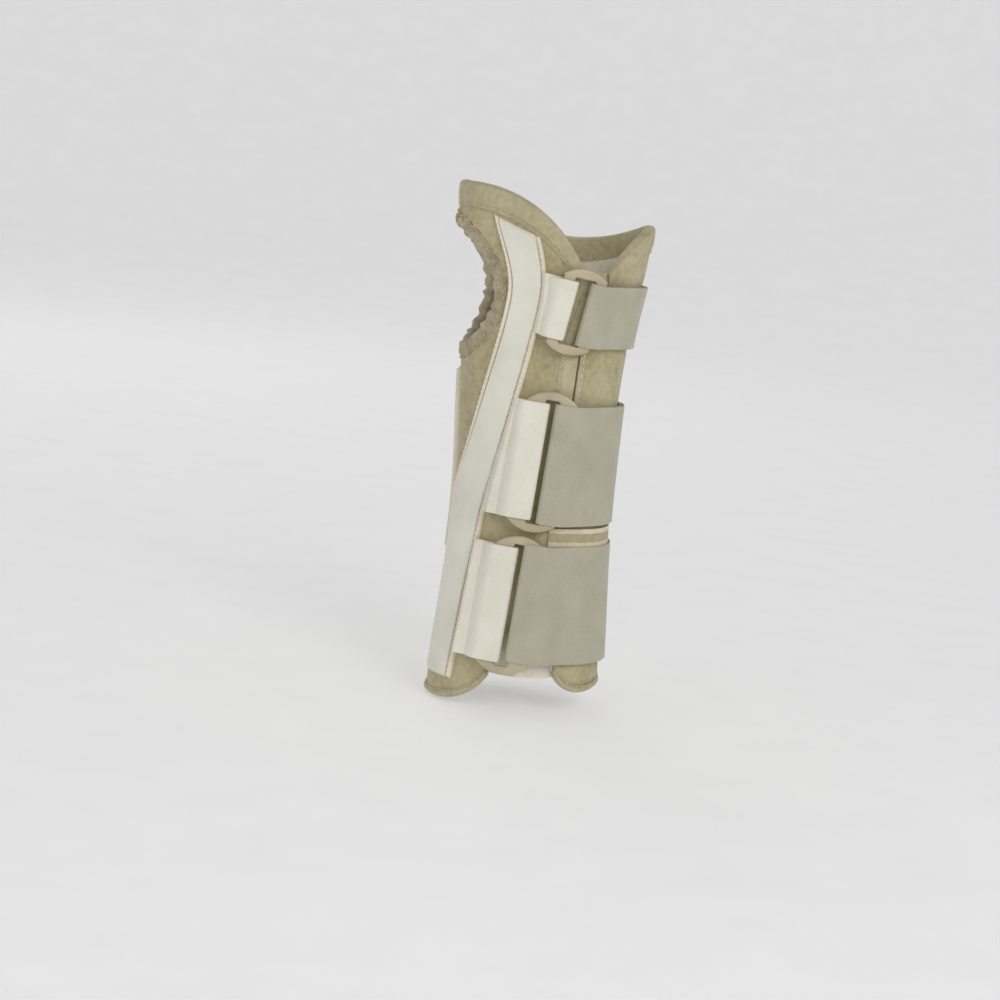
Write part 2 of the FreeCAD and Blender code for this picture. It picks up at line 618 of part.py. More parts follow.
def strap_profile(level, start, outward, grown, thick, end_x):
    """Closed profile of a strap pulled tight from start and round to the palm side."""
    centre_x, centre_y, wide, deep = section(level)
    centre = Vector(centre_x, centre_y, level)
    sides = []
    for more in (0.0, thick):
        begin = start + outward * more
        a, b = wide + grown + more, deep + grown + more
        touch, end = taut_turn(begin, centre, a, b), end_turn(end_x, centre, a)
        sides.append((begin, ellipse_point(centre, a, b, touch),
                      ellipse_arc(centre, a, b, touch, end), ellipse_point(centre, a, b, end)))
    (s0, t0, arc0, e0), (s1, t1, arc1, e1) = sides
    edges = [Part.makeLine(s0, t0), arc0, Part.makeLine(e0, e1), arc1,
             Part.makeLine(t1, s1), Part.makeLine(s1, s0)]
    return Part.Wire(Part.__sortEdges__(edges))


def strap_solid(title, place, frame, height, grown, thick, end_x, top):
    """Strap from its lower edge to a top level, off the loop's edge at a height above it.

    It is ruled through the free ply's own levels, so that plies keep their gap.
    """
    wires = []
    for level in sorted({size(f"{place}_{edge}") for edge in ("strap_bottom", "strap_top", top)}):
        corner = Vector(size(f"{place}_half_wide + joint_gap"), 0, size(height))
        along = frame.Rotation.multVec(Vector(0, 1, 0))
        outward = frame.Rotation.multVec(Vector(0, 0, 1))
        begin = frame.multVec(corner)
        begin = begin + along * ((level - begin.z) / along.z)
        outward = Vector(outward.x, outward.y, 0).normalize()
        wires.append(strap_profile(level, begin, outward, size(grown), size(thick), size(end_x)))
    feature = doc.addObject("Part::Feature", title.title().replace("_", ""))
    feature.Shape = Part.makeLoft(wires, True, True)
    return keep(title, feature)


def hook_solid(title, place, grown):
    """Hook tape on the inner face of the strap's free end."""
    wires = []
    for edge in ("bottom", "top"):
        level = size(f"{place}_strap_{edge}")
        centre_x, centre_y, wide, deep = section(level)
        centre = Vector(centre_x, centre_y, level)
        arcs, ends = [], []
        for more in (0.0, size("hook_thick")):
            a, b = wide + size(grown) + more, deep + size(grown) + more
            last = end_turn(size("strap_end_x"), centre, a)
            first = last - size("hook_length") / b
            arcs.append(ellipse_arc(centre, a, b, first, last))
            ends.append([ellipse_point(centre, a, b, turn) for turn in (first, last)])
        edges = [arcs[0], Part.makeLine(ends[0][1], ends[1][1]), arcs[1],
                 Part.makeLine(ends[1][0], ends[0][0])]
        wires.append(Part.Wire(Part.__sortEdges__(edges)))
    feature = doc.addObject("Part::Feature", title.title().replace("_", ""))
    feature.Shape = Part.makeLoft(wires, True, True)
    return keep(title, feature)


ROOT_PLY = f"{BINDING_OUT} + strap_gap"
HOOK_PLY = f"{ROOT_PLY} + strap_thick + strap_gap"
FREE_PLY = f"{HOOK_PLY} + hook_thick + hook_seam"


def build_straps():
    """The three sets of chafe, loop, fold, sewn strap ply, free ply and hook tape."""
    for place in SETS:
        frame = loop_frame(place)
        for piece in (build_loop(place), build_chafe(place), build_fold(place)):
            piece.Placement = frame
        strap_solid(f"{place}_strap_root", place, frame, f"{BAR_LOW} - strap_thick",
                    ROOT_PLY, "strap_thick", "strap_root_x", "root_top")
        strap_solid(f"{place}_strap", place, frame, BAR_HIGH,
                    FREE_PLY, "strap_thick", "strap_end_x", "strap_top")
        hook_solid(f"{place}_hook_tape", place, HOOK_PLY)
        hinge = {"chafe": (f"{place}_chafe_start", f"{BAR_HIGH} + chafe_thick"),
                 "peel": (f"{place}_half_wide + joint_gap", f"{BAR_HIGH} + strap_thick")}
        axis = frame.Rotation.multVec(Vector(0, -1, 0))
        for word, (x, z) in hinge.items():
            spot = frame.multVec(Vector(size(x), 0, size(z)))
            print("hinge", place, word, *(f"{v:.4f}" for v in (*spot, *axis)))


def check_and_write():
    """Every feature sound and every node one or more valid solids, then the files."""
    broken = [o.Label for o in doc.Objects if {"Invalid", "Error"} & set(o.State)]
    if broken:
        raise RuntimeError(f"failed features: {broken}")
    os.makedirs("parts", exist_ok=True)
    for name, feature in nodes.items():
        shape = feature.Shape
        if shape.isNull() or not shape.isValid() or not shape.Solids:
            raise RuntimeError(f"bad shape: {name}")
        print(f"{name}: {len(shape.Solids)} solid(s), {shape.Volume:.0f} mm3")
    for name, feature in nodes.items():
        feature.Shape.exportStep(f"parts/{name}.step")


write_sheet()
build_sleeve()
build_bindings()
build_pockets()
doc.recompute()
build_straps()
doc.recompute()
check_and_write()
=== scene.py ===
import json
import math

import bpy
import numpy as np
from mathutils import Matrix


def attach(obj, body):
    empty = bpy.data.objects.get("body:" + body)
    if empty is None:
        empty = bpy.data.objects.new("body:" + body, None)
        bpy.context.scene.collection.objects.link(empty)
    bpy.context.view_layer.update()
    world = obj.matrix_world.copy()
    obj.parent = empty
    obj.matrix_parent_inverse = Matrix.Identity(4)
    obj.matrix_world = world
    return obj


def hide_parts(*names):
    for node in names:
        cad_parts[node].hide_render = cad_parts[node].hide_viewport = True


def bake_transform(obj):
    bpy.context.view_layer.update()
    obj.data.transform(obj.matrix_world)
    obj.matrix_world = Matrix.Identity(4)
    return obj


# Looks of a right-hand wrist splint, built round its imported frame.
# Shapes are worked out in millimetres in the frame's axes: +Z up the forearm to the
# fingers, -Y the back of the hand, -X the thumb side.  A place on the sleeve is a turn
# (0 over the back of the hand, a quarter turn at the little finger), a level along Z
# and a height out from the cover's face.

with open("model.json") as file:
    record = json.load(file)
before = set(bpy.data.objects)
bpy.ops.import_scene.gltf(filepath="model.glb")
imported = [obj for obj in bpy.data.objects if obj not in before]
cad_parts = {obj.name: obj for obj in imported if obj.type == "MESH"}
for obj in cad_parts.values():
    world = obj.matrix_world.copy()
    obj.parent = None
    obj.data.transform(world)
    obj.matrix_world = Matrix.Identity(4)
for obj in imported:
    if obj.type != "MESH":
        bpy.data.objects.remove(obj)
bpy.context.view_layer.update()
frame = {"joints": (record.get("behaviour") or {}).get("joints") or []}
MM = 0.001
QUARTER = math.pi / 2

# ------------------------------------------------------------------ sizes of the sleeve

STATIONS = np.array([
    # level, half width, half depth, centre x, centre y
    (-12.0, 37.4, 31.8, 0.7, 0.0),
    (20.0, 35.8, 31.0, 0.6, 0.0),
    (54.0, 33.7, 30.2, 0.5, 0.0),
    (90.0, 32.5, 29.0, -0.1, 0.0),
    (132.0, 33.8, 26.9, -1.4, 0.2),
    (160.0, 35.4, 25.6, -1.8, -1.2),
    (190.0, 39.6, 24.3, -2.4, -5.6),
    (211.0, 40.7, 23.5, -2.7, -9.2),
    (232.0, 40.4, 22.8, -2.8, -12.8),
])
COVER, FOAM, LINING, TONGUE = 0.9, 1.8, 0.6, 1.2
PLY_GAP = 0.1
FOAM_OUT = -COVER - PLY_GAP
LINING_OUT = FOAM_OUT - FOAM - PLY_GAP
LINING_IN = LINING_OUT - LINING
TRIM_OUT = 0.5
TONGUE_OUT = LINING_IN - 0.6
FOLD_IN = LINING_IN - 0.5
FOLD_MIDDLE = (TRIM_OUT + FOLD_IN) / 2
CENTRE = np.array([0.0, 0.0, 100.0])  # well inside the sleeve

UPPER_LEFT, SHOULDER = (-43.0, 218.5), (10.0, 189.5)
VEE, UPPER_RIGHT = (20.6, 186.5), (39.0, 208.5)
LOWER_LEFT, LEFT_LOBE = (-33.0, 0.8), (-10.8, 15.0)
RIGHT_LOBE, LOWER_RIGHT = (17.0, 19.0), (38.0, 12.3)
LEADING = np.array([(-10.8, 15.0), (11.0, 78.0), (11.9, 134.0), (12.5, 154.0), (20.6, 187.3)])
FACING = np.array([(17.0, 19.0), (11.8, 78.0), (12.7, 134.0), (13.3, 154.0), (21.4, 187.3)])
THUMB_Y, THUMB_LEVEL, THUMB_LONG, THUMB_SHORT = -4.5, 175.0, 25.7, 18.0
THUMB_TILT = math.radians(14.0)

# Loop sets: sizes across (x) and along (y) the loop, from its own centre.
BAR_LOW, BAR_HIGH = 1.8, 4.8
CHAFE_THICK, STRAP_THICK, JOINT_GAP = 1.4, 0.8, 0.35
ROOT_PLY, HOOK_PLY, FREE_PLY = 0.6, 1.5, 1.96
ROOT_END, FREE_END = 18.5, 26.0  # x at which the sewn and the free ply stop
SETS = {
    "hand": dict(half_wide=9.3, slot_wide=4.4, chafe_half=12.5, start=-12.4, strap=(156.0, 182.2)),
    "wrist": dict(half_wide=11.0, slot_wide=2.9, chafe_half=24.4, start=-12.7,
                  strap=(81.4, 131.4)),
    "forearm": dict(half_wide=11.0, slot_wide=2.9, chafe_half=24.4, start=-14.2,
                    strap=(22.6, 72.6)),
}


# ------------------------------------------------------------------ surface of the sleeve

def bends(x, y):
    """Second derivatives of the natural cubic spline through (x, y)."""
    gaps = np.diff(x)
    matrix, right = np.eye(len(x)), np.zeros(len(x))
    for i in range(1, len(x) - 1):
        matrix[i, i - 1:i + 2] = gaps[i - 1], 2 * (gaps[i - 1] + gaps[i]), gaps[i]
        right[i] = 6 * ((y[i + 1] - y[i]) / gaps[i] - (y[i] - y[i - 1]) / gaps[i - 1])
    return np.linalg.solve(matrix, right)


def spline(x, y, bend, at):
    """Natural cubic spline through (x, y), read at the given places."""
    at = np.clip(at, x[0], x[-1])
    i = np.clip(np.searchsorted(x, at) - 1, 0, len(x) - 2)
    gap = x[i + 1] - x[i]
    a, b = (x[i + 1] - at) / gap, (at - x[i]) / gap
    curl = ((a ** 3 - a) * bend[i] + (b ** 3 - b) * bend[i + 1]) * gap ** 2 / 6
    return a * y[i] + b * y[i + 1] + curl


LEVELS = STATIONS[:, 0]
BENDS = [bends(LEVELS, STATIONS[:, column]) for column in range(1, 5)]


def section(level):
    """Half width, half depth and centre of the cover's face at each level."""
    return [spline(LEVELS, STATIONS[:, column], BENDS[column - 1], level)
            for column in range(1, 5)]


def sleeve(turn, level, out=0.0):
    """Points out from the cover: an ellipse at each level, swept by the turn."""
    wide, deep, x, y = section(level)
    level = level + 0.0 * turn
    return np.stack([x + (wide + out) * np.sin(turn), y - (deep + out) * np.cos(turn),
                     level], -1)


def turn_of(x, level):
    """Turn over the back at which the cover has this x."""
    wide, _, centre, _ = section(level)
    return np.arcsin(np.clip((x - centre) / wide, -1.0, 1.0))


def outward(turn, level):
    """Unit normals of the cover, from its slopes along the turn and the level."""
    step = 0.01
    along = sleeve(turn, level + step) - sleeve(turn, level - step)
    round_ = sleeve(turn + step, level) - sleeve(turn - step, level)
    normal = np.cross(round_, along)
    return normal / np.linalg.norm(normal, axis=-1, keepdims=True)


def smooth(low, high, x):
    """0 below low, 1 above high, and an S between them."""
    s = np.clip((x - low) / (high - low), 0.0, 1.0)
    return s * s * (3 - 2 * s)


def arc(p, q, radius, side):
    """Level as a function of x on the arc from p to q that sags (1) or bows up (-1)."""
    (x0, z0), (x1, z1) = p, q
    half = np.array([(x1 - x0) / 2, (z1 - z0) / 2])
    length = np.linalg.norm(half)
    reach = math.sqrt(radius ** 2 - length ** 2)
    centre = np.array([x0, z0]) + half + np.array([-half[1], half[0]]) / length * reach * side

    def level(x):
        """Height of the circle under or over x."""
        return centre[1] - side * np.sqrt(np.maximum(radius ** 2 - (x - centre[0]) ** 2, 0.0))
    return level


BACK_BOW = arc(UPPER_LEFT, SHOULDER, 56.0, -1)
PALM_SAG = arc(UPPER_LEFT, UPPER_RIGHT, 66.0, 1)
LEFT_BOW = arc(LOWER_LEFT, LEFT_LOBE, 29.0, 1)
RIGHT_BOW = arc(RIGHT_LOBE, LOWER_RIGHT, 14.0, 1)


def upper_back(x):
    """Upper edge over the back: a bow down to the shoulder, then the vee."""
    line = np.interp(x, [SHOULDER[0], VEE[0], UPPER_RIGHT[0]],
                     [SHOULDER[1], VEE[1], UPPER_RIGHT[1]])
    return np.where(x < SHOULDER[0], BACK_BOW(np.maximum(x, UPPER_LEFT[0])), line)


def upper_palm(x):
    """Upper edge over the palm: one sagging arc."""
    return PALM_SAG(np.clip(x, UPPER_LEFT[0], UPPER_RIGHT[0]))


def lower_back(x):
    """Lower edge over the back: two lobes with the tongue between."""
    between = np.interp(x, [LEFT_LOBE[0], RIGHT_LOBE[0]], [LEFT_LOBE[1], RIGHT_LOBE[1]])
    left = LEFT_BOW(np.clip(x, LOWER_LEFT[0], LEFT_LOBE[0]))
    right = RIGHT_BOW(np.clip(x, RIGHT_LOBE[0], LOWER_RIGHT[0]))
    return np.where(x < LEFT_LOBE[0], left, np.where(x > RIGHT_LOBE[0], right, between))


def lower_palm(x):
    """Lower edge over the palm side: one slant."""
    return np.interp(x, [LOWER_LEFT[0], LOWER_RIGHT[0]], [LOWER_LEFT[1], LOWER_RIGHT[1]])


def edge_level(turn, back, palm, first):
    """Level of an edge at each turn, blended where back and palm meet."""
    level = np.full(np.shape(turn), first)
    for _ in range(12):
        wide, _, centre, _ = section(level)
        x = centre + wide * np.sin(turn)
        share = smooth(-0.08, 0.08, np.cos(turn))
        level = share * back(x) + (1 - share) * palm(x)
    return level


def upper(turn):
    """Level of the finger-side edge."""
    return edge_level(turn, upper_back, upper_palm, 205.0)


def lower(turn):
    """Level of the elbow-side edge."""
    return edge_level(turn, lower_back, lower_palm, 8.0)


def leading_turn(edge, level):
    """Turn of one of the two front edges at each level."""
    return turn_of(np.interp(level, edge[:, 1], edge[:, 0]), level)


def thumb_share(points):
    """Distance from the thumb opening's centre in its own radii, and the angle there."""
    y, z = points[..., 1] - THUMB_Y, points[..., 2] - THUMB_LEVEL
    along = z * math.cos(THUMB_TILT) - y * math.sin(THUMB_TILT)
    across = y * math.cos(THUMB_TILT) + z * math.sin(THUMB_TILT)
    return (np.hypot(along / THUMB_LONG, across / THUMB_SHORT),
            np.arctan2(across / THUMB_SHORT, along / THUMB_LONG))


def thumb_turn(y, level):
    """Turn on the thumb side at which the cover has this y."""
    _, deep, _, centre = section(level)
    return -np.arccos(np.clip((centre - y) / deep, -1.0, 1.0))


def thumb_place(angle):
    """Turn and level on the thumb opening's edge, an upright ellipse leaning back."""
    along, across = THUMB_LONG * np.cos(angle), THUMB_SHORT * np.sin(angle)
    level = THUMB_LEVEL + along * math.cos(THUMB_TILT) + across * math.sin(THUMB_TILT)
    y = THUMB_Y + across * math.cos(THUMB_TILT) - along * math.sin(THUMB_TILT)
    return thumb_turn(y, level), level


def place_of(points):
    """Turn and level of points near the sleeve."""
    wide, deep, x, y = section(points[..., 2])
    return (np.arctan2((points[..., 0] - x) / wide, (y - points[..., 1]) / deep),
            points[..., 2])


def thumb_rim(angle, grown):
    """Turn and level a distance out from the thumb opening's edge, along the sleeve."""
    step = 0.01
    here = sleeve(*thumb_place(angle))
    ahead = sleeve(*thumb_place(angle + step)) - sleeve(*thumb_place(angle - step))
    side = np.cross(outward(*thumb_place(angle)), ahead)
    side = side / np.linalg.norm(side, axis=-1, keepdims=True)
    centre = np.array([-38.0, THUMB_Y, THUMB_LEVEL])
    side = side * np.sign(((here - centre) * side)[..., 1:].sum(-1, keepdims=True))
    return place_of(here + side * grown[..., None])


def relief(turn, level):
    """Small rise and fall of the soft cover.

    A few slow waves, gathers that run out from the thumb opening, and shallow
    presses where the straps pull the sleeve in.
    """
    waves = sum(height * np.sin(round_ * turn + along * level + begin) for height, round_, along, begin
                in ((0.22, 3.1, 0.045, 0.0), (0.16, 5.3, -0.083, 0.0), (0.10, 9.0, 0.16, 1.0)))
    share, angle = thumb_share(sleeve(turn, level))
    near = np.exp(-np.maximum(share - 1.0, 0.0) / 0.28) * (np.sin(turn) < 0)
    wobble = angle + 0.05 * np.sin(7 * angle) + 0.1 * (share - 1.0)
    gathers = near * (0.62 * np.sin(27 * wobble) + 0.3 * np.sin(43 * wobble + 1.3))
    press = 0.0
    for values in SETS.values():
        low, high = values["strap"]
        press = press + smooth(low - 5, low + 1, level) * smooth(high + 5, high - 1, level)
    return waves * 0.8 + gathers - 0.25 * press


# ------------------------------------------------------------------ meshes

def add_mesh(name, points, faces, uv=None, crease=50.0):
    """Object with these points (mm) and faces, smooth but for edges sharper than crease."""
    mesh = bpy.data.meshes.new(name)
    mesh.from_pydata((np.asarray(points) * MM).tolist(), [], [list(map(int, f)) for f in faces])
    mesh.polygons.foreach_set("use_smooth", np.ones(len(mesh.polygons), bool))
    mesh.set_sharp_from_angle(angle=math.radians(crease))
    if uv is not None:
        corner = np.empty(len(mesh.loops), np.int32)
        mesh.loops.foreach_get("vertex_index", corner)
        layer = mesh.uv_layers.new(name="UVMap")
        layer.data.foreach_set("uv", np.asarray(uv)[corner].ravel().astype(np.float32))
    piece = bpy.data.objects.new(name, mesh)
    bpy.context.collection.objects.link(piece)
    return piece


def quads(rows, columns, round_rows=False):
    """Corner numbers of every cell of a grid, closed on itself if round_rows."""
    number = np.arange(rows * columns).reshape(rows, columns)
    after = np.roll(number, -1, 0) if round_rows else number[1:]
    here = number if round_rows else number[:-1]
    return np.stack([here[:, :-1], after[:, :-1], after[:, 1:], here[:, 1:]], -1)


def slab(name, front, back, keep=None, uv=None, round_rows=False, crease=50.0):
    """Closed solid between two grids; keep marks the cells that are there."""
    rows, columns = front.shape[:2]
    cells = quads(rows, columns, round_rows)
    cells = (cells if keep is None else cells[keep]).reshape(-1, 4)
    f, b = front.reshape(-1, 3), back.reshape(-1, 3)
    middle = f[cells]
    normal = np.cross(middle[:, 2] - middle[:, 0], middle[:, 3] - middle[:, 1])
    if (normal * (middle.mean(1) - b[cells].mean(1))).sum() < 0:
        cells = cells[:, ::-1]
    count = rows * columns
    start, end = cells.ravel(), np.roll(cells, -1, 1).ravel()
    rim = ~np.isin(start * count + end, end * count + start)
    start, end = start[rim], end[rim]
    walls = np.stack([end, start, start + count, end + count], -1)
    faces = np.concatenate([cells, cells[:, ::-1] + count, walls])
    used, faces = np.unique(faces, return_inverse=True)
    faces = faces.reshape(-1, 4)
    points = np.concatenate([f, b])[used]
    maps = None if uv is None else np.concatenate([uv.reshape(-1, 2)] * 2)[used]
    return add_mesh(name, points, faces, maps, crease)


def unit_grid(rows, columns):
    """Two grids from 0 to 1, down the rows and along the columns; or at given places."""
    places = [np.linspace(0, 1, n) if isinstance(n, int) else n for n in (rows, columns)]
    return np.meshgrid(*places, indexing="ij")


def lengths(points, axis):
    """Running length along one axis of a grid of points, in mm."""
    steps = np.linalg.norm(np.diff(points, axis=axis), axis=-1)
    first = np.zeros_like(np.take(steps, [0], axis))
    return np.concatenate([first, np.cumsum(steps, axis)], axis)


def grid_uv(points):
    """UV in mm: the running length along the rows and along the columns."""
    return np.stack([lengths(points, 0), lengths(points, 1)], -1)


def normals(points, inside=None):
    """Unit normals of a grid from its differences both ways, away from a point inside."""
    normal = np.cross(np.gradient(points, axis=0), np.gradient(points, axis=1))
    if inside is not None and (normal * (points - inside)).sum() < 0:
        normal = -normal
    return normal / np.maximum(np.linalg.norm(normal, axis=-1, keepdims=True), 1e-9)


def ribbon(name, middle, thick, thin_edge=0.45, edge=1.2, inside=None):
    """Strip of cloth round a grid of middle points: thick inside, thinner at its edges.

    Rows run across the strip and columns along it.
    """
    normal = normals(middle, inside)
    across = lengths(middle, 0)
    nearest = np.minimum(across, across[-1:] - across)
    along = lengths(middle, 1)
    ends = np.minimum(along, along[:, -1:] - along)
    share = smooth(-0.2, edge, np.minimum(nearest, ends))
    half = thick / 2 * (thin_edge + (1 - thin_edge) * share)[..., None]
    return slab(name, middle + normal * half, middle - normal * half, uv=grid_uv(middle))


def resample(path, *others, step):
    """A path and what goes with it, at even steps along its length."""
    along = lengths(path, 0)
    count = max(int(round(along[-1] / step)), 2)
    places = np.linspace(0, along[-1], count)
    return [np.stack([np.interp(places, along, item[:, k]) for k in range(3)], -1)
            for item in (path, *others)]


def stitches(name, runs, length=2.1, gap=0.7, radius=0.24):
    """Thread along each (path, normal) run: small flattened capsules, ends dipped in.

    A stitch is a ring of points swept along the run: radius times the root of
    one less the square of the place along it.
    """
    ring, places = 6, np.array([-0.92, -0.6, 0.0, 0.6, 0.92])
    turn = np.arange(ring) * 2 * math.pi / ring
    all_points, all_faces, count = [], [], 0
    for path, normal in runs:
        ends, up = resample(path, normal, step=length + gap)
        centre, up = (ends[1:] + ends[:-1]) / 2, (up[1:] + up[:-1]) / 2
        way = ends[1:] - ends[:-1]
        way /= np.linalg.norm(way, axis=-1, keepdims=True)
        side = np.cross(way, up)
        up = np.cross(side, way)
        size = radius * np.sqrt(1 - places ** 2)
        lift = 0.12 - 0.35 * places ** 2
        rise = lift[:, None] + size[:, None] * 0.8 * np.cos(turn)
        spread = size[:, None] * np.sin(turn)
        shape = (centre[:, None, None] + way[:, None, None] * (places * length / 2)[:, None, None]
                 + up[:, None, None] * rise[..., None] + side[:, None, None] * spread[..., None])
        each = len(places) * ring
        i, j = np.meshgrid(np.arange(len(places) - 1), np.arange(ring), indexing="ij")
        face = np.stack([i * ring + j, i * ring + (j + 1) % ring,
                         (i + 1) * ring + (j + 1) % ring, (i + 1) * ring + j], -1).reshape(-1, 4)
        base = count + np.arange(len(centre))[:, None, None] * each
        all_faces += (face[None] + base).reshape(-1, 4).tolist()
        caps = np.stack([np.arange(ring)[::-1], np.arange(ring) + each - ring])
        all_faces += (caps[None] + base).reshape(-1, ring).tolist()
        all_points.append(shape.reshape(-1, 3))
        count += len(centre) * each
    return add_mesh(name, np.concatenate(all_points), all_faces, crease=80)


def stitch_line(turn, level, out):
    """Path and normals of a stitch line at a height over the soft cover."""
    return sleeve(turn, level, out + relief(turn, level)), outward(turn, level)


# ------------------------------------------------------------------ materials

class Paint:
    """A procedural material, built node by node."""

    def __init__(self, name, roughness=0.9, **sockets):
        self.material = bpy.data.materials.new(name)
        self.material.use_nodes = True
        self.tree = self.material.node_tree
        self.shader = self.tree.nodes["Principled BSDF"]
        self.shader.inputs["Roughness"].default_value = roughness
        for socket, value in sockets.items():
            self.shader.inputs[socket.replace("_", " ")].default_value = value
        self.place = self.tree.nodes.new("ShaderNodeTexCoord")

    def node(self, kind, inputs=(), **settings):
        """Adds a node; inputs maps a socket to a value or to another socket."""
        made = self.tree.nodes.new(f"ShaderNode{kind}")
        for setting, value in settings.items():
            setattr(made, setting, value)
        for socket, value in dict(inputs).items():
            if isinstance(value, bpy.types.NodeSocket):
                self.tree.links.new(value, made.inputs[socket])
            else:
                made.inputs[socket].default_value = value
        return made

    def noise(self, scale, detail=3.0, stretch=None):
        """Noise about one half; scale is in features per metre."""
        where = self.place.outputs["Object"]
        if stretch:
            where = self.node("Mapping", {"Vector": where, "Scale": stretch}).outputs[0]
        return self.node("TexNoise", {"Vector": where, "Scale": scale, "Detail": detail}).outputs[0]

    def math(self, operation, a, b=0.0):
        """One sum."""
        return self.node("Math", {0: a, 1: b}, operation=operation).outputs[0]

    def weigh(self, *shares):
        """Sum of values, each times its weight."""
        parts = [self.math("MULTIPLY", value, weight) for value, weight in shares]
        total = parts[0]
        for part in parts[1:]:
            total = self.math("ADD", total, part)
        return total

    def across(self):
        """Distance across the piece in mm, from its UV."""
        return self.node("SeparateXYZ", {0: self.place.outputs["UV"]}).outputs[0]

    def ramp(self, value, stops):
        """Colour or grey steps along a value."""
        made = self.node("ValToRGB", {"Fac": value})
        band = made.color_ramp
        while len(band.elements) < len(stops):
            band.elements.new(0.5)
        for element, (place, colour) in zip(band.elements, stops):
            element.position = place
            element.color = (*colour, 1.0)
        return made.outputs[0]

    def mix(self, share, a, b, blend="MIX"):
        """Colour mix."""
        made = self.node("Mix", {0: share, 6: a if isinstance(a, bpy.types.NodeSocket) else (*a, 1),
                                 7: b if isinstance(b, bpy.types.NodeSocket) else (*b, 1)},
                         data_type="RGBA", blend_type=blend)
        return made.outputs[2]

    def colour(self, socket):
        """Feeds the base colour."""
        self.tree.links.new(socket, self.shader.inputs["Base Color"])

    def rough(self, value, low, high):
        """Feeds the roughness, from low to high as the value goes from 0 to 1."""
        made = self.node("MapRange", {0: value, 3: low, 4: high})
        self.tree.links.new(made.outputs[0], self.shader.inputs["Roughness"])

    def bump(self, *layers):
        """Chain of (height, strength, distance in metres)."""
        normal = None
        for height, strength, distance in layers:
            inputs = {"Height": height, "Strength": strength, "Distance": distance}
            if normal is not None:
                inputs["Normal"] = normal
            normal = self.node("Bump", inputs).outputs[0]
        self.tree.links.new(normal, self.shader.inputs["Normal"])

    def weave(self, pitch_along, pitch_across):
        """Plain weave from the UV in mm: over-and-under bumps both ways."""
        parts = self.node("SeparateXYZ", {0: self.place.outputs["UV"]}).outputs
        a = self.math("SINE", self.math("MULTIPLY", parts[0], 2 * math.pi / pitch_across))
        b = self.math("SINE", self.math("MULTIPLY", parts[1], 2 * math.pi / pitch_along))
        return self.node("MapRange", {0: self.math("MULTIPLY", a, b), 1: -1.0, 2: 1.0}).outputs[0]


def suede(name, dark, middle, light, fuzz=0.35):
    """Brushed cloth: blotches of three sizes over a nap, and a soft sheen."""
    paint = Paint(name, 0.93, Sheen_Weight=0.18, Sheen_Roughness=0.6)
    blotch, patch = paint.noise(70.0, 4.0), paint.noise(420.0, 4.0)
    nap = paint.noise(2600.0, 2.0)
    value = paint.weigh((blotch, 0.45), (patch, 0.37), (nap, 0.18))
    paint.colour(paint.ramp(value, [(0.36, dark), (0.50, middle), (0.64, light)]))
    paint.rough(patch, 0.84, 0.98)
    paint.bump((patch, 0.22, 0.0006), (nap, fuzz, 0.00025))
    return paint.material


def woven(name, dark, light):
    """Dense woven webbing: yarn bumps, flecks and faint soiling."""
    paint = Paint(name, 0.85, Sheen_Weight=0.1)
    yarn = paint.weave(1.4, 0.9)
    soil, fleck = paint.noise(45.0, 4.0), paint.noise(1500.0, 2.0)
    value = paint.weigh((soil, 0.55), (yarn, 0.25), (fleck, 0.2))
    paint.colour(paint.ramp(value, [(0.3, dark), (0.62, light)]))
    paint.rough(fleck, 0.74, 0.93)
    paint.bump((yarn, 0.6, 0.00018), (fleck, 0.15, 0.0002))
    return paint.material


def edged_tape(name):
    """White tape whose UV x is the distance in from its edge: cord, sewn groove, web."""
    paint = Paint(name, 0.82, Sheen_Weight=0.08)
    fleck, soil = paint.noise(1400.0, 2.0), paint.noise(55.0, 4.0)
    shaky = paint.weigh((paint.across(), 1.0), (fleck, 0.5))
    band = paint.ramp(paint.math("DIVIDE", shaky, 6.0),
                      [(0.0, (0.84, 0.77, 0.62)), (0.31, (0.88, 0.82, 0.68)),
                       (0.38, (0.50, 0.40, 0.26)), (0.47, (0.82, 0.795, 0.70))])
    yarn = paint.weave(0.9, 0.8)
    shade = paint.ramp(paint.weigh((soil, 0.7), (yarn, 0.3)),
                       [(0.32, (0.84, 0.84, 0.82)), (0.62, (1.0, 1.0, 1.0))])
    paint.colour(paint.mix(1.0, band, shade, "MULTIPLY"))
    paint.rough(fleck, 0.72, 0.92)
    paint.bump((yarn, 0.45, 0.00016), (fleck, 0.25, 0.0003))
    return paint.material


def bordered(name):
    """Ply with cream borders: UV x is the distance across it in mm."""
    paint = Paint(name, 0.88, Sheen_Weight=0.1)
    nap, patch = paint.noise(2200.0, 2.0), paint.noise(300.0, 3.0)
    band = paint.ramp(paint.math("DIVIDE", paint.across(), 8.8),
                      [(0.0, (0.72, 0.64, 0.48)), (0.27, (0.76, 0.69, 0.53)),
                       (0.33, (0.47, 0.405, 0.25)), (0.70, (0.45, 0.385, 0.235)),
                       (0.76, (0.74, 0.66, 0.50))])
    shade = paint.ramp(patch, [(0.3, (0.82, 0.82, 0.80)), (0.65, (1.0, 1.0, 1.0))])
    paint.colour(paint.mix(1.0, band, shade, "MULTIPLY"))
    paint.rough(nap, 0.78, 0.95)
    paint.bump((nap, 0.3, 0.0002), (patch, 0.2, 0.0004))
    return paint.material


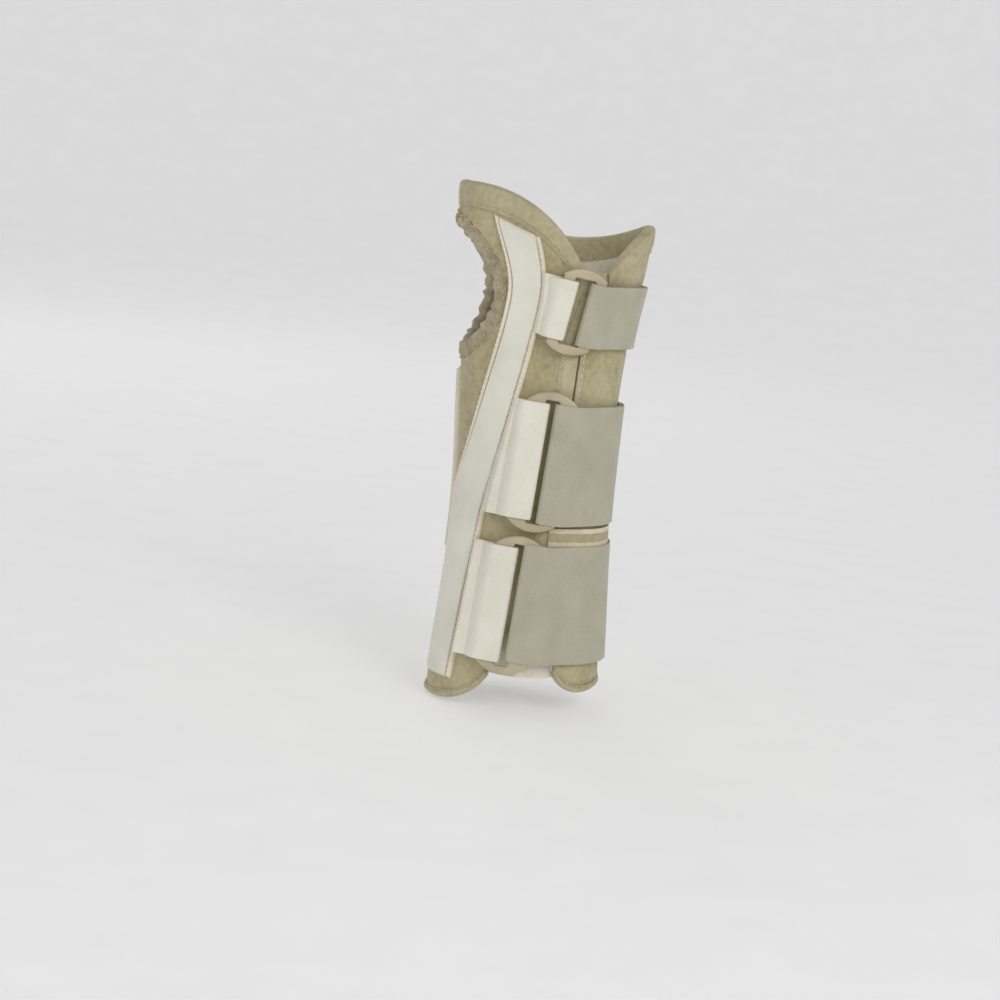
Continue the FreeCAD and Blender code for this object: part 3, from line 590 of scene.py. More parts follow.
def strapping(name, dark, light):
    """Smooth loop-faced strap: close nap with faint lines along it."""
    paint = Paint(name, 0.86, Sheen_Weight=0.22, Sheen_Roughness=0.45)
    nap, patch = paint.noise(2400.0, 3.0), paint.noise(90.0, 3.0)
    lines = paint.math("SINE", paint.math("MULTIPLY", paint.across(), 2 * math.pi / 0.85))
    value = paint.weigh((patch, 0.35), (nap, 0.6), (lines, 0.03))
    paint.colour(paint.ramp(value, [(0.34, dark), (0.58, light)]))
    paint.rough(nap, 0.76, 0.95)
    paint.bump((lines, 0.06, 0.00012), (nap, 0.3, 0.00016))
    return paint.material


def moulded(name, dark, light):
    """Moulded plastic: even colour with flow marks, light scratches and a soft gloss."""
    paint = Paint(name, 0.34, Coat_Weight=0.15, Coat_Roughness=0.25)
    flow, scratch = paint.noise(60.0, 2.0), paint.noise(900.0, 3.0, (1.0, 1.0, 0.12))
    paint.colour(paint.ramp(flow, [(0.35, dark), (0.65, light)]))
    paint.rough(scratch, 0.26, 0.46)
    paint.bump((scratch, 0.08, 0.00008), (flow, 0.1, 0.0003))
    return paint.material


def brushed_metal(name):
    """Bare aluminium strip, brushed along its length."""
    paint = Paint(name, 0.35, Metallic=1.0)
    grain = paint.noise(1800.0, 2.0, (1.0, 1.0, 0.03))
    paint.colour(paint.ramp(grain, [(0.35, (0.55, 0.56, 0.57)), (0.65, (0.80, 0.80, 0.81))]))
    paint.rough(grain, 0.25, 0.45)
    paint.bump((grain, 0.15, 0.00005))
    return paint.material


def foam(name):
    """Open-cell foam: small round pores."""
    paint = Paint(name, 0.95)
    cells = paint.node("TexVoronoi", {"Vector": paint.place.outputs["Object"],
                                      "Scale": 1100.0}).outputs[0]
    paint.colour(paint.ramp(cells, [(0.1, (0.55, 0.50, 0.38)), (0.5, (0.82, 0.78, 0.66))]))
    paint.bump((cells, 0.6, 0.0004))
    return paint.material


def fleece(name):
    """Soft white brushed lining: clumps of nap with shallow creases."""
    paint = Paint(name, 0.95, Sheen_Weight=0.3)
    clump, nap = paint.noise(500.0, 4.0), paint.noise(3000.0, 2.0)
    paint.colour(paint.ramp(paint.weigh((clump, 0.6), (nap, 0.4)),
                            [(0.34, (0.74, 0.68, 0.55)), (0.6, (0.90, 0.86, 0.76))]))
    paint.rough(nap, 0.88, 1.0)
    paint.bump((clump, 0.4, 0.0005), (nap, 0.4, 0.0003))
    return paint.material


def thread(name, dark, light):
    """Sewing thread: two strands twisted, its colour darker where the twist noise is low, where its
    bump dips too.
    """
    paint = Paint(name, 0.7, Sheen_Weight=0.1)
    twist = paint.noise(1900.0, 2.0, (1.0, 1.0, 0.4))
    paint.colour(paint.ramp(twist, [(0.35, dark), (0.6, light)]))
    paint.rough(twist, 0.6, 0.8)
    paint.bump((twist, 0.5, 0.00012))
    return paint.material


def hooks(name):
    """Hook tape: rows of short stiff hooks."""
    paint = Paint(name, 0.6)
    stubs = paint.weave(1.3, 1.5)
    fleck = paint.noise(1200.0, 2.0)
    paint.colour(paint.ramp(paint.weigh((stubs, 0.7), (fleck, 0.3)),
                            [(0.3, (0.30, 0.26, 0.20)), (0.7, (0.58, 0.53, 0.44))]))
    paint.rough(stubs, 0.75, 0.45)
    paint.bump((stubs, 0.9, 0.0006))
    return paint.material


PAINTS = {
    "cover": suede("cover_suede", (0.322, 0.275, 0.15), (0.437, 0.382, 0.222),
                   (0.524, 0.465, 0.294)),
    "binding": suede("binding_suede", (0.363, 0.32, 0.184), (0.465, 0.414, 0.256),
                     (0.54, 0.488, 0.32)),
    "elastic": suede("gathered_elastic", (0.27, 0.225, 0.14), (0.40, 0.345, 0.225),
                     (0.52, 0.46, 0.32), 0.5),
    "tape": edged_tape("edged_tape"),
    "chafe_webbing": woven("chafe_webbing", (0.70, 0.665, 0.555), (0.87, 0.84, 0.73)),
    "strap": strapping("strap_loop_face", (0.395, 0.372, 0.28), (0.49, 0.462, 0.35)),
    "hook": hooks("hook_tape"),
    "loop_plastic": moulded("loop_plastic", (0.42, 0.365, 0.235), (0.52, 0.46, 0.31)),
    "stay_metal": brushed_metal("stay_metal"),
    "foam": foam("padding_foam"),
    "lining": fleece("lining_fleece"),
}
THREADS = {
    "beige": thread("beige_thread", (0.42, 0.35, 0.22), (0.66, 0.58, 0.42)),
    "cream": thread("cream_thread", (0.66, 0.58, 0.42), (0.88, 0.82, 0.68)),
    "brown": thread("brown_thread", (0.34, 0.26, 0.16), (0.58, 0.49, 0.34)),
}


def finish_piece(piece, slot, body="root", replaces=(), paint=None):
    """Gives a piece its material, its body and the nodes it stands for."""
    piece.data.materials.append(paint or PAINTS[slot])
    if body:
        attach(piece, body)
    if replaces:
        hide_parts(*replaces)
    return piece


# ------------------------------------------------------------------ tapes' outlines

TAPE_SIDE = math.pi / 2 - math.asin(5.0 / 30.5)
TAPE_LEFT = np.array([(-40.0, 10.5), (-36.5, 47.0), (-33.0, 84.0), (-28.9, 110.0), (-25.0, 134.0),
                      (-21.2, 156.0), (-19.3, 170.0), (-19.2, 180.0), (-21.7, 190.0),
                      (-25.1, 199.0), (-27.8, 206.5)])
TAPE_RIGHT = np.array([(-25.6, 10.5), (-22.0, 47.0), (-18.4, 84.0), (-14.0, 110.0), (-9.6, 134.0),
                       (-6.4, 154.0), (-4.4, 168.0), (-3.8, 179.0), (-5.4, 189.5),
                       (-8.4, 199.5)])
TAPE_BENDS = [bends(side[:, 1], side[:, 0]) for side in (TAPE_LEFT, TAPE_RIGHT)]


def tape_turns(level):
    """Turns of the long tape's two side edges at each level."""
    left, right = [spline(side[:, 1], side[:, 0], bend, level)
                   for side, bend in zip((TAPE_LEFT, TAPE_RIGHT), TAPE_BENDS)]
    past = (turn_of(left, level) + TAPE_SIDE) / 0.05
    return -TAPE_SIDE + 0.05 * np.logaddexp(0.0, past), turn_of(right, level)


def cloth(turn, level, out):
    """Points out from the soft cover, its rise and fall included."""
    left, right = tape_turns(level)
    away = smooth(0.02, 0.12, np.maximum(left - turn, turn - right))
    return sleeve(turn, level, out + relief(turn, level) * (0.25 + 0.75 * away))


# ------------------------------------------------------------------ sleeve panels

def panel(first, last, across, up):
    """Turn and level grids of a panel between two edges given as functions of level."""
    u, v = unit_grid(across, up)
    level = 10.0 + 190.0 * v
    for _ in range(8):
        turn = first(level) + u * (last(level) - first(level))
        level = lower(turn) + (upper(turn) - lower(turn)) * v
    return turn, level


def outside_thumb(points):
    """Marks the cells of a grid that lie wholly outside the thumb opening."""
    clear = (thumb_share(points)[0] > 1.0) | (points[..., 0] > -10.0)
    return clear[:-1, :-1] & clear[1:, :-1] & clear[1:, 1:] & clear[:-1, 1:]


def flat_size(points, keep=None):
    """Flat width, length and area of a grid of cloth, in metres."""
    a, b, c, d = points[:-1, :-1], points[1:, :-1], points[1:, 1:], points[:-1, 1:]
    cell = np.linalg.norm(np.cross(c - a, d - b), axis=-1) / 2
    area = (cell if keep is None else cell[keep]).sum() * MM ** 2
    wide, tall = lengths(points, 0)[-1].max() * MM, lengths(points, 1)[:, -1].max() * MM
    return (wide, tall), min(area, wide * tall)


SHEETS = []


def declare(piece, points, keep=None):
    """Declares a piece as cloth cut to its own flat size."""
    flat, area = flat_size(points, keep)
    SHEETS.append((piece.name, round(flat[0], 4), round(flat[1], 4), round(area, 6)))


def layered(name, turn, level, out, thick, slot, held, keep=None):
    """One ply of the sleeve: a closed sheet between two heights over the cover."""
    front, back = cloth(turn, level, out), cloth(turn, level, out - thick)
    piece = slab(f"soft_{name}", front, back, keep, grid_uv(front))
    finish_piece(piece, slot, replaces=(name,))
    if held:
        declare(piece, front, keep=keep)
    return piece


def build_panels(facings):
    """Cover panels, foam, lining and tongue; facings is not used."""
    def seam(side):
        """Turn of the palm seam, reached from the thumb's side (-1) or the other (1)."""
        return lambda level: np.full(np.shape(level), side * math.pi)

    def lead(edge, back=0.0):
        """Turn of a leading edge, or the same a whole turn back."""
        return lambda level: leading_turn(edge, level) - back

    turn, level = panel(seam(-1), lead(LEADING), 200, 235)
    keep = outside_thumb(sleeve(turn, level))
    layered("radial_cover", turn, level, 0.0, COVER, "cover", "stretched", keep)
    turn, level = panel(lead(FACING), seam(1), 130, 200)
    layered("ulnar_cover", turn, level, 0.0, COVER, "cover", "stretched")
    turn, level = panel(lead(FACING, 2 * math.pi), lead(LEADING), 190, 150)
    keep = outside_thumb(sleeve(turn, level))
    pad = layered("sleeve_padding", turn, level, FOAM_OUT, FOAM, "foam", None, keep)
    layered("sleeve_lining", turn, level, LINING_OUT, LINING, "lining", "stretched", keep)
    u, v = unit_grid(70, 200)
    low, high = 14.8, 183.0
    level = low + 2.2 * (2 * u - 1) ** 2 * (1 - v) + (high - low) * v
    turn = turn_of(-20.0 + 45.0 * u, level)
    layered("tongue", turn, level, TONGUE_OUT, TONGUE, "lining", "laid")


# ------------------------------------------------------------------ bindings and facings

def fold_profile(band, seam, puff):
    """Folded strip's section: distance in from the edge and height, outside then inside.

    The outer leg swells by a half sine, dips at its seam, turns over the edge by a
    half circle and comes back along the inside.
    """
    down = np.linspace(band, 0.7, 26)
    swell = (puff * np.sin(np.pi * np.clip(down / seam, 0, 1)) ** 0.7
             - 0.42 * np.exp(-((down - seam) / 0.45) ** 2))
    angle = np.linspace(0.0, math.pi, 12)
    across = np.concatenate([down, 0.7 - 1.1 * np.sin(angle[1:-1]), down[::-1]])
    height = np.concatenate([TRIM_OUT + swell,
                             FOLD_MIDDLE + (TRIM_OUT - FOLD_MIDDLE) * np.cos(angle[1:-1]),
                             np.full(len(down), FOLD_IN)])
    return across, height


def band_round(name, ends, edge, sign, band, seam, puff):
    """Folded strip along an edge of the sleeve and its stitch row.

    It runs the long way round, between the leading edges at the two end levels, and a
    slow ripple runs along its outside.
    """
    first = float(leading_turn(LEADING, ends[0]))
    last = float(leading_turn(FACING, ends[1])) - 2 * math.pi
    turn = np.linspace(first - 0.002, last + 0.002, 470)
    across, height = fold_profile(band, seam, puff)
    inside_height = FOLD_MIDDLE + (height - FOLD_MIDDLE) * 0.86
    grid_turn, grid_across = unit_grid(turn, across)
    level = edge(grid_turn) - sign * grid_across
    ripple = 0.10 * np.sin(grid_turn * 61 + grid_across * 0.7) * np.sin(grid_turn * 17)
    front = cloth(grid_turn, level, height[None] + ripple * (height[None] > 0))
    back_level = edge(grid_turn) - sign * np.maximum(grid_across, 0.05)
    back = cloth(grid_turn, back_level, inside_height[None] + 0.0 * grid_turn)
    piece = slab(f"soft_{name}", front, back, uv=grid_uv(front))
    finish_piece(piece, "binding", replaces=(name,))
    seam_piece = stitches(f"{name}_stitches",
                          [stitch_line(turn, edge(turn) - sign * seam, TRIM_OUT - 0.15)])
    finish_piece(seam_piece, "binding", paint=THREADS["beige"])
    declare(piece, front)


def facing_strip(name, edge, side, band, seam, low, high, tone):
    """Flat strip sewn along a leading edge, side -1 toward the thumb."""
    u, v = unit_grid(26, 330)
    level = low + (high - low) * v
    x = np.interp(level, edge[:, 1], edge[:, 0])
    away = 0.05 + (band - 0.05) * u
    turn = turn_of(x + side * away, level)
    puff = (0.28 * np.sin(np.pi * np.clip(away / seam, 0, 1)) ** 0.7
            - 0.3 * np.exp(-((away - seam) / 0.4) ** 2))
    wavy = 0.07 * np.sin(level * 0.9 + 2.0 * np.sin(level * 0.11))
    front = cloth(turn, level, TRIM_OUT + puff + wavy)
    back = cloth(turn, level, 0.08 + 0.0 * turn)
    piece = slab(f"soft_{name}", front, back, uv=grid_uv(front))
    finish_piece(piece, "binding", replaces=(name,))
    line = np.linspace(low + 1, high - 1, 400)
    x = np.interp(line, edge[:, 1], edge[:, 0]) + side * seam
    turn = turn_of(x, line)
    seam_piece = stitches(f"{name}_stitches",
                          [stitch_line(turn, line, TRIM_OUT - 0.1)])
    finish_piece(seam_piece, "binding", paint=THREADS[tone])
    return [piece, seam_piece]


def build_thumb_binding():
    """Gathered elastic edge of the thumb opening: the folded strip with puckers round it.

    Where it runs under the long tape it flattens onto the cover.
    """
    across, height = fold_profile(6.0, 4.6, 0.5)
    angle, grown = unit_grid(np.linspace(0, 2 * np.pi, 421)[:-1], across)
    free = np.clip(grown / 3.0, 0.0, 1.0)
    beat = angle * 44 + 0.8 * np.sin(5 * angle) + 0.6 * np.sin(11 * angle + 1.0)
    pucker = (0.30 * np.sin(beat) + 0.12 * np.sin(2 * beat + 1.0)) * (0.25 + 0.75 * free)
    turn, level = thumb_rim(angle, grown + 0.04 * np.sin(beat))
    outer = height[None] > -1.0
    under = smooth(0.03, -0.02, tape_turns(level)[0] - turn) * (turn < 0) * outer
    wave = np.where(outer, pucker, 0.4 * pucker)
    front = cloth(turn, level, (height[None] + wave) * (1 - under) - 0.1 * under)
    turn_in, level_in = thumb_rim(angle, np.maximum(grown, 0.05))
    inside_height = FOLD_MIDDLE + (height[None] - FOLD_MIDDLE) * 0.84
    back = cloth(turn_in, level_in, (inside_height + wave) * (1 - under) - 0.5 * under)
    piece = slab("soft_thumb_binding", front, back, uv=grid_uv(front), round_rows=True)
    finish_piece(piece, "elastic", replaces=("thumb_binding",))
    angle = np.linspace(0, 2 * np.pi, 300)
    turn, level = thumb_rim(angle, np.full_like(angle, 4.6))
    clear = turn < tape_turns(level)[0] - 0.04
    start = int(np.argmax(clear & ~np.roll(clear, 1)))
    clear, turn, level = [np.roll(item, -start) for item in (clear, turn, level)]
    turn, level = turn[clear], level[clear]
    seam_piece = stitches("thumb_binding_stitches", [stitch_line(turn, level, TRIM_OUT)])
    finish_piece(seam_piece, "elastic", paint=THREADS["beige"])
    declare(piece, front)


def build_bindings():
    """Upper and lower strips, the thumb edge and the two facings, which it returns."""
    band_round("upper_binding", (186.5, 187.0), upper, 1.0, 10.0, 8.7, 0.42)
    band_round("lower_binding", (15.2, 19.2), lower, -1.0, 3.0, 2.3, 0.3)
    build_thumb_binding()
    return (facing_strip("radial_edge_binding", LEADING, -1.0, 7.0, 6.0, 18.2, 176.8, "beige")
            + facing_strip("ulnar_edge_binding", FACING, 1.0, 2.4, 1.7, 22.2, 177.2, "cream"))


# ------------------------------------------------------------------ tapes over the stays

TAPE_CROWN, GROOVE = 1.98, 2.25  # height over the metal, groove's distance from the edge


def tape_height(away, along):
    """Rise of a stay tape: corded edge, sewn groove, then flat over the metal.

    The cord is a half ellipse with a twist along it and the groove a narrow dip.
    """
    twist = 0.80 + 0.20 * np.sin(2 * np.pi * (along / 2.3 + 0.12 * away))
    cord = 0.62 + 1.15 * np.sqrt(np.clip(1 - ((away - 1.0) / 1.05) ** 2, 0, 1)) * twist
    flat = TAPE_CROWN - 0.75 * np.exp(-((away - GROOVE) / 0.26) ** 2)
    return cord + (flat - cord) * smooth(1.7, 2.1, away)


def stay_tape(name, turn, level):
    """Tape on the sleeve from grids of turn and level, with its groove stitches.

    Its height is the tape's profile by the distance from the edge, down at both ends.
    """
    flat = sleeve(turn, level, 1.0)
    across, along = lengths(flat, 0), lengths(flat, 1)
    away = np.minimum(across, across[-1:] - across)
    end = np.minimum(along, along[:, -1:] - along)
    slow = 0.07 * (1 + np.sin(along * 0.11 + 1.0)) * smooth(3, 6, away)
    height = tape_height(away, along) + slow
    height = 0.45 + (height - 0.45) * smooth(-0.8, 1.6, end)
    front = sleeve(turn, level, height)
    back = sleeve(turn, level, np.full_like(height, -0.25))
    piece = slab(f"soft_{name}", front, back, uv=np.stack([away, along], -1), crease=65)
    finish_piece(piece, "tape", replaces=(name,))
    runs, column = [], np.arange(flat.shape[1])
    for way in (1, -1):
        distance = (across if way > 0 else across[-1:] - across)[::way]
        row = (distance < GROOVE).sum(0) - 1
        inside = end[::way][row, column] > 2.7
        here, there = (row[inside], column[inside]), (row[inside] + 1, column[inside])
        part = ((GROOVE - distance[here]) / (distance[there] - distance[here]))[:, None]
        face = front[::way]
        runs.append((face[here] * (1 - part) + face[there] * part,
                     outward(turn[::way][here], level[::way][here])))
    seam = stitches(f"{name}_stitches", runs, length=1.5, gap=1.1, radius=0.26)
    finish_piece(seam, "tape", paint=THREADS["brown"])
    declare(piece, front)


def build_tapes():
    """Long tape over the back, short one on the thumb side, spoon-shaped one in the palm."""
    across = np.concatenate([np.linspace(0, 0.27, 24)[:-1], np.linspace(0.27, 0.73, 16),
                             np.linspace(0.73, 1, 24)[1:]])
    u, v = unit_grid(across, 430)
    left_level = 206.5 - (206.5 - 10.5) * v
    right_level = 199.5 - (199.5 - 10.5) * v
    left, right = tape_turns(left_level)[0], tape_turns(right_level)[1]
    level = left_level + (right_level - left_level) * u
    stay_tape("dorsal_stay_pocket", left + (right - left) * u, level)

    u, v = unit_grid(across, 170)
    level = 62.0 + (139.8 - 62.0) * v
    first, last = thumb_turn(-1.0, level), thumb_turn(13.0, level)
    stay_tape("radial_stay_pocket", first + (last - first) * u, level)

    u, v = unit_grid(across, 330)
    level = 16.0 + (186.5 - 16.0) * v
    half = 16.0 + 2.2 * smooth(138, 154, level)
    past = np.clip(level - 180.5, 0, 6.0)
    half = half - (6.0 - np.sqrt(np.maximum(36.0 - past ** 2, 0.0)))
    turn = np.pi - turn_of(-1.0 + half * (2 * u - 1), level)
    stay_tape("palmar_stay_pocket", turn, level)


# ------------------------------------------------------------------ webbing and straps

def loop_frame(place):
    """Matrix from a loop's own millimetres to the sleeve's, found from its two hinges."""
    values = SETS[place]
    hinges = {}
    for body in ("loop_lift", "strap_peel"):
        joint = next(j for j in frame["joints"] if j["name"] == f"{place}_{body}")
        hinges[body] = np.array(joint["pos_m"]) / MM
        y = -np.array(joint["axis"])
    y = y / np.linalg.norm(y)
    step = hinges["strap_peel"] - hinges["loop_lift"]
    wide = values["half_wide"] + JOINT_GAP - values["start"]
    tall = STRAP_THICK - CHAFE_THICK
    # The step is wide * x + tall * z, so y crossed with it is tall * x - wide * z.
    x = wide * step + tall * np.cross(y, step)
    x = x / np.linalg.norm(x)
    z = np.cross(x, y)
    origin = hinges["loop_lift"] - values["start"] * x - (BAR_HIGH + CHAFE_THICK) * z
    return np.stack([x, y, z], 1), origin


def to_sleeve(axes, origin, local):
    """Points of a loop's own frame in the sleeve's."""
    return local @ axes.T + origin


def to_loop(axes, origin, points):
    """Points of the sleeve's frame in a loop's own."""
    return (points - origin) @ axes


def bend_between(piece, axes, origin, start, end):
    """Bakes a piece's placement into its mesh; the two places given in a loop's x and z bend nothing.
    """
    start, end = [to_sleeve(axes, origin, np.array([x, 0.0, z])) * MM for x, z in (start, end)]
    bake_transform(piece)


def even(rows, count, ends=None):
    """Each row of points at even steps along it, up to its end or to a given length."""
    along = lengths(rows, 1)
    ends = along[:, -1] if ends is None else ends
    return np.array([[np.interp(np.linspace(0, end, count), way, row[:, k]) for k in range(3)]
                     for row, way, end in zip(rows, along, ends)]).transpose(0, 2, 1)


def half_turn(tip, reach, centre_z, radius, first, last, count=14):
    """Points on an upright half ellipse in the loop's x and z, its tip at an x."""
    angle = np.linspace(first, last, count)
    centre = tip - reach * math.copysign(1.0, math.cos((first + last) / 2))
    return np.stack([centre + reach * np.cos(angle), centre_z + radius * np.sin(angle)], -1)


def build_chafe(place, axes, origin):
    """Webbing from under the tape, over and round the loop's bar, and back below it.

    Its path in the loop's x and z is a cubic bend down to the bar, a half ellipse
    round the bar, and two straight runs back; across, it fans a little to its root.
    """
    values = SETS[place]
    y = np.linspace(-values["chafe_half"], values["chafe_half"], 56)
    start = to_sleeve(axes, origin, np.stack([np.full_like(y, values["start"]), y, 0 * y], -1))
    turn = tape_turns(start[:, 2])[1] - 0.055
    top, low = [to_loop(axes, origin, sleeve(turn, start[:, 2], out)) for out in (0.55, 0.05)]
    ply, middle = 0.62, (BAR_HIGH + BAR_LOW) / 2
    radius = (BAR_HIGH - BAR_LOW) / 2 + ply
    s = np.linspace(0, 1, 40)[:, None]
    first, last = top[:, None, ::2], np.array([-values["half_wide"] + 0.6, middle + radius])
    over = ((1 - s) ** 3 * first + 3 * (1 - s) ** 2 * s * (first + [2.6, 0.5])
            + 3 * (1 - s) * s ** 2 * (last - [4.2, -0.15]) + s ** 3 * last)
    bend = half_turn(1.45 - values["slot_wide"], 1.4, middle, radius, QUARTER, -QUARTER)
    edge_x, edge_z = np.full_like(y, -values["half_wide"]), np.full_like(y, middle - radius)
    under = np.stack([np.stack([edge_x, edge_z], -1),
                      np.stack([low[:, 0] + 1.0, np.maximum(low[:, 2] + 0.15, 0.35)], -1),
                      low[:, ::2]], 1)
    path = np.concatenate([over, np.broadcast_to(bend, (len(y), *bend.shape)), under], 1)
    fan = np.concatenate([1 - s[:, 0], np.zeros(path.shape[1] - len(s))])
    across = y[:, None] + (top[:, 1] - y)[:, None] * fan
    path = even(np.stack([path[..., 0], across, path[..., 1]], -1), 150)
    path[..., 2] += 0.10 * np.sin(path[..., 1] * 0.5 + 1.0)
    grid = to_sleeve(axes, origin, path)
    piece = ribbon(f"soft_{place}_chafe", grid, 2 * ply)
    finish_piece(piece, "chafe_webbing", body=None, replaces=(f"{place}_chafe",))
    bend_between(piece, axes, origin,
                 (values["start"] - 2.5, 2.0), (values["start"] + 3.5, 2.0))
    declare(piece, grid)


def taut(place, axes, origin, height, out, end_x, count_line, count_arc, rows=60):
    """Middle of a strap ply: straight off the loop's edge, then round the sleeve.

    At each level the straight part meets the ellipse where it first touches it.
    """
    values = SETS[place]
    low, high = values["strap"]
    level = np.linspace(low, high, rows)
    corner = to_sleeve(axes, origin, np.array([values["half_wide"] + JOINT_GAP, 0.0, height]))
    begin = corner + axes[:, 1] * ((level - corner[2]) / axes[2, 1])[:, None]
    wide, deep, x, y = section(level)
    a, b = wide + out, deep + out
    p, q = (begin[:, 0] - x) / a, (y - begin[:, 1]) / b
    touch = np.arctan2(p, q) + np.arccos(np.minimum(1.0, 1.0 / np.hypot(p, q)))
    end = math.pi - np.arcsin((end_x - x) / a)
    line = np.linspace(0, 1, count_line)[None, :-1, None]
    turn = touch[:, None] + (end - touch)[:, None] * np.linspace(0, 1, count_arc)
    ring = sleeve(turn, level[:, None], out)
    return np.concatenate([begin[:, None] * (1 - line) + ring[:, :1] * line, ring], 1)


def eased(grid, times=60):
    """Rows of a grid with their inner points drawn toward their neighbours."""
    grid = grid.copy()
    for _ in range(times):
        grid[:, 1:-1] += 0.45 * ((grid[:, :-2] + grid[:, 2:]) / 2 - grid[:, 1:-1])
    return grid


def round_the_bar(place, axes, origin, begin, upper_half):
    """Strap's quarter turn round the loop's bar, joined to where the ply begins."""
    values = SETS[place]
    middle, radius = (BAR_HIGH + BAR_LOW) / 2, (BAR_HIGH - BAR_LOW + STRAP_THICK) / 2
    last = QUARTER if upper_half else -QUARTER
    arc_points = half_turn(values["slot_wide"] - 1.3, 1.3, middle, radius,
                           math.copysign(math.pi, last), last)
    local = to_loop(axes, origin, begin)
    rows = np.broadcast_arrays(arc_points[:, 0], local[:, 1:2], arc_points[:, 1])
    return to_sleeve(axes, origin, np.stack(rows, -1))


def build_strap(place, axes, origin):
    """Sewn ply from the palm to the bar, free ply back over it, and the hook tape."""
    values = SETS[place]
    low_height, high_height = BAR_LOW - STRAP_THICK / 2, BAR_HIGH + STRAP_THICK / 2
    rooted = taut(place, axes, origin, low_height, ROOT_PLY + STRAP_THICK / 2, ROOT_END, 20, 70)
    turn_part = round_the_bar(place, axes, origin, rooted[:, 0], False)
    grid = even(np.concatenate([turn_part, rooted], 1), 150)
    piece = ribbon(f"soft_{place}_strap_root", grid, STRAP_THICK, 0.6, 0.5, inside=CENTRE)
    finish_piece(piece, "strap", body=None, replaces=(f"{place}_strap_root",))
    bend_between(piece, axes, origin,
                 (values["half_wide"] + 15.0, -1.0), (values["half_wide"] + 1.0, 2.0))
    border = [build_band()] if place == "forearm" else []
    declare(piece, grid)

    free = taut(place, axes, origin, high_height, FREE_PLY + STRAP_THICK / 2, FREE_END, 20, 80)
    turn_part = round_the_bar(place, axes, origin, free[:, 0], True)
    grid = even(np.concatenate([turn_part, free], 1), 170)
    softened, reach = eased(grid), lengths(grid, 1)[..., None]
    grid = grid + (softened - grid) * smooth(6.0, 9.0, reach)
    along, across = lengths(grid, 1), lengths(grid, 0)
    side = np.minimum(across, across[-1:] - across)
    curl = 0.10 * np.sin(along * 0.23 + across * 0.1) + 0.22 * smooth(1.6, 0.0, side) \
        * np.sin(along * 0.31 + 1.2) ** 2
    grid = grid + normals(grid, CENTRE) * (curl * smooth(6.0, 12.0, along))[..., None]
    # The free end's corners are cut round: rows near an edge stop short.
    edge = side[:, -1]
    short = 7.0 - np.sqrt(np.maximum(49.0 - np.maximum(7.0 - edge, 0.0) ** 2, 0.0))
    grid = even(grid, grid.shape[1], along[:, -1] - short)
    piece = ribbon(f"soft_{place}_strap", grid, STRAP_THICK, 0.55, 0.5, inside=CENTRE)
    finish_piece(piece, "strap", body=None, replaces=(f"{place}_strap", f"{place}_strap_fold"))
    bend_between(piece, axes, origin,
                 (values["half_wide"] - 0.8, 5.2), (values["half_wide"] + 4.5, 5.2))

    low, high = values["strap"]
    level = np.linspace(low + 1.0, high - 1.0, 40)
    wide, deep, x, _ = section(level)
    a, b = wide + HOOK_PLY + 0.2, deep + HOOK_PLY + 0.2
    end = math.pi - np.arcsin((FREE_END - x) / a)
    turn = (end - 0.5 / b)[:, None] - (23.0 / b)[:, None] * np.linspace(1, 0, 46)
    hook = sleeve(turn, level[:, None], HOOK_PLY + 0.2)
    tape = ribbon(f"soft_{place}_hook_tape", hook, 0.36, 0.8, 0.3, inside=CENTRE)
    finish_piece(tape, "hook", f"{place}_strap_body", (f"{place}_hook_tape",))
    declare(tape, hook)
    declare(piece, grid)


def build_band():
    """Bordered strip of the forearm strap's sewn ply that shows above its free ply."""
    level, u = unit_grid(np.linspace(71.6, 79.9, 34), 130)
    wide, _, x, _ = section(level)
    first = turn_of(8.2 + 0.25 * (level - 76.0) ** 2 / 9, level)
    last = math.pi - np.arcsin((ROOT_END - x) / (wide + ROOT_PLY))
    turn = first + (last - first) * u
    grid = sleeve(turn, level, ROOT_PLY + 0.45 + 0.08 * np.sin(turn * 9) * (79.9 - level) / 8)
    piece = ribbon("soft_forearm_strap_border", grid, STRAP_THICK, 0.7, 0.6, inside=CENTRE)
    finish_piece(piece, "strap", paint=bordered("bordered_ply"))
    return piece




def paint_kept_nodes():
    """Gives the CAD's loops and stays their materials."""
    kept = {f"{place}_loop": "loop_plastic" for place in SETS}
    kept.update({f"{word}_stay": "stay_metal" for word in ("dorsal", "radial", "palmar")})
    for node, slot in kept.items():
        piece = bpy.data.objects[node]
        if not piece.material_slots:
            piece.data.materials.append(PAINTS[slot])
        for place in piece.material_slots:
            place.material = PAINTS[slot]


build_panels(build_bindings())
build_tapes()
for place in SETS:
    axes, origin = loop_frame(place)
    build_chafe(place, axes, origin)
    build_strap(place, axes, origin)
paint_kept_nodes()


# ------------------------------------------------------------------ stage, light, camera

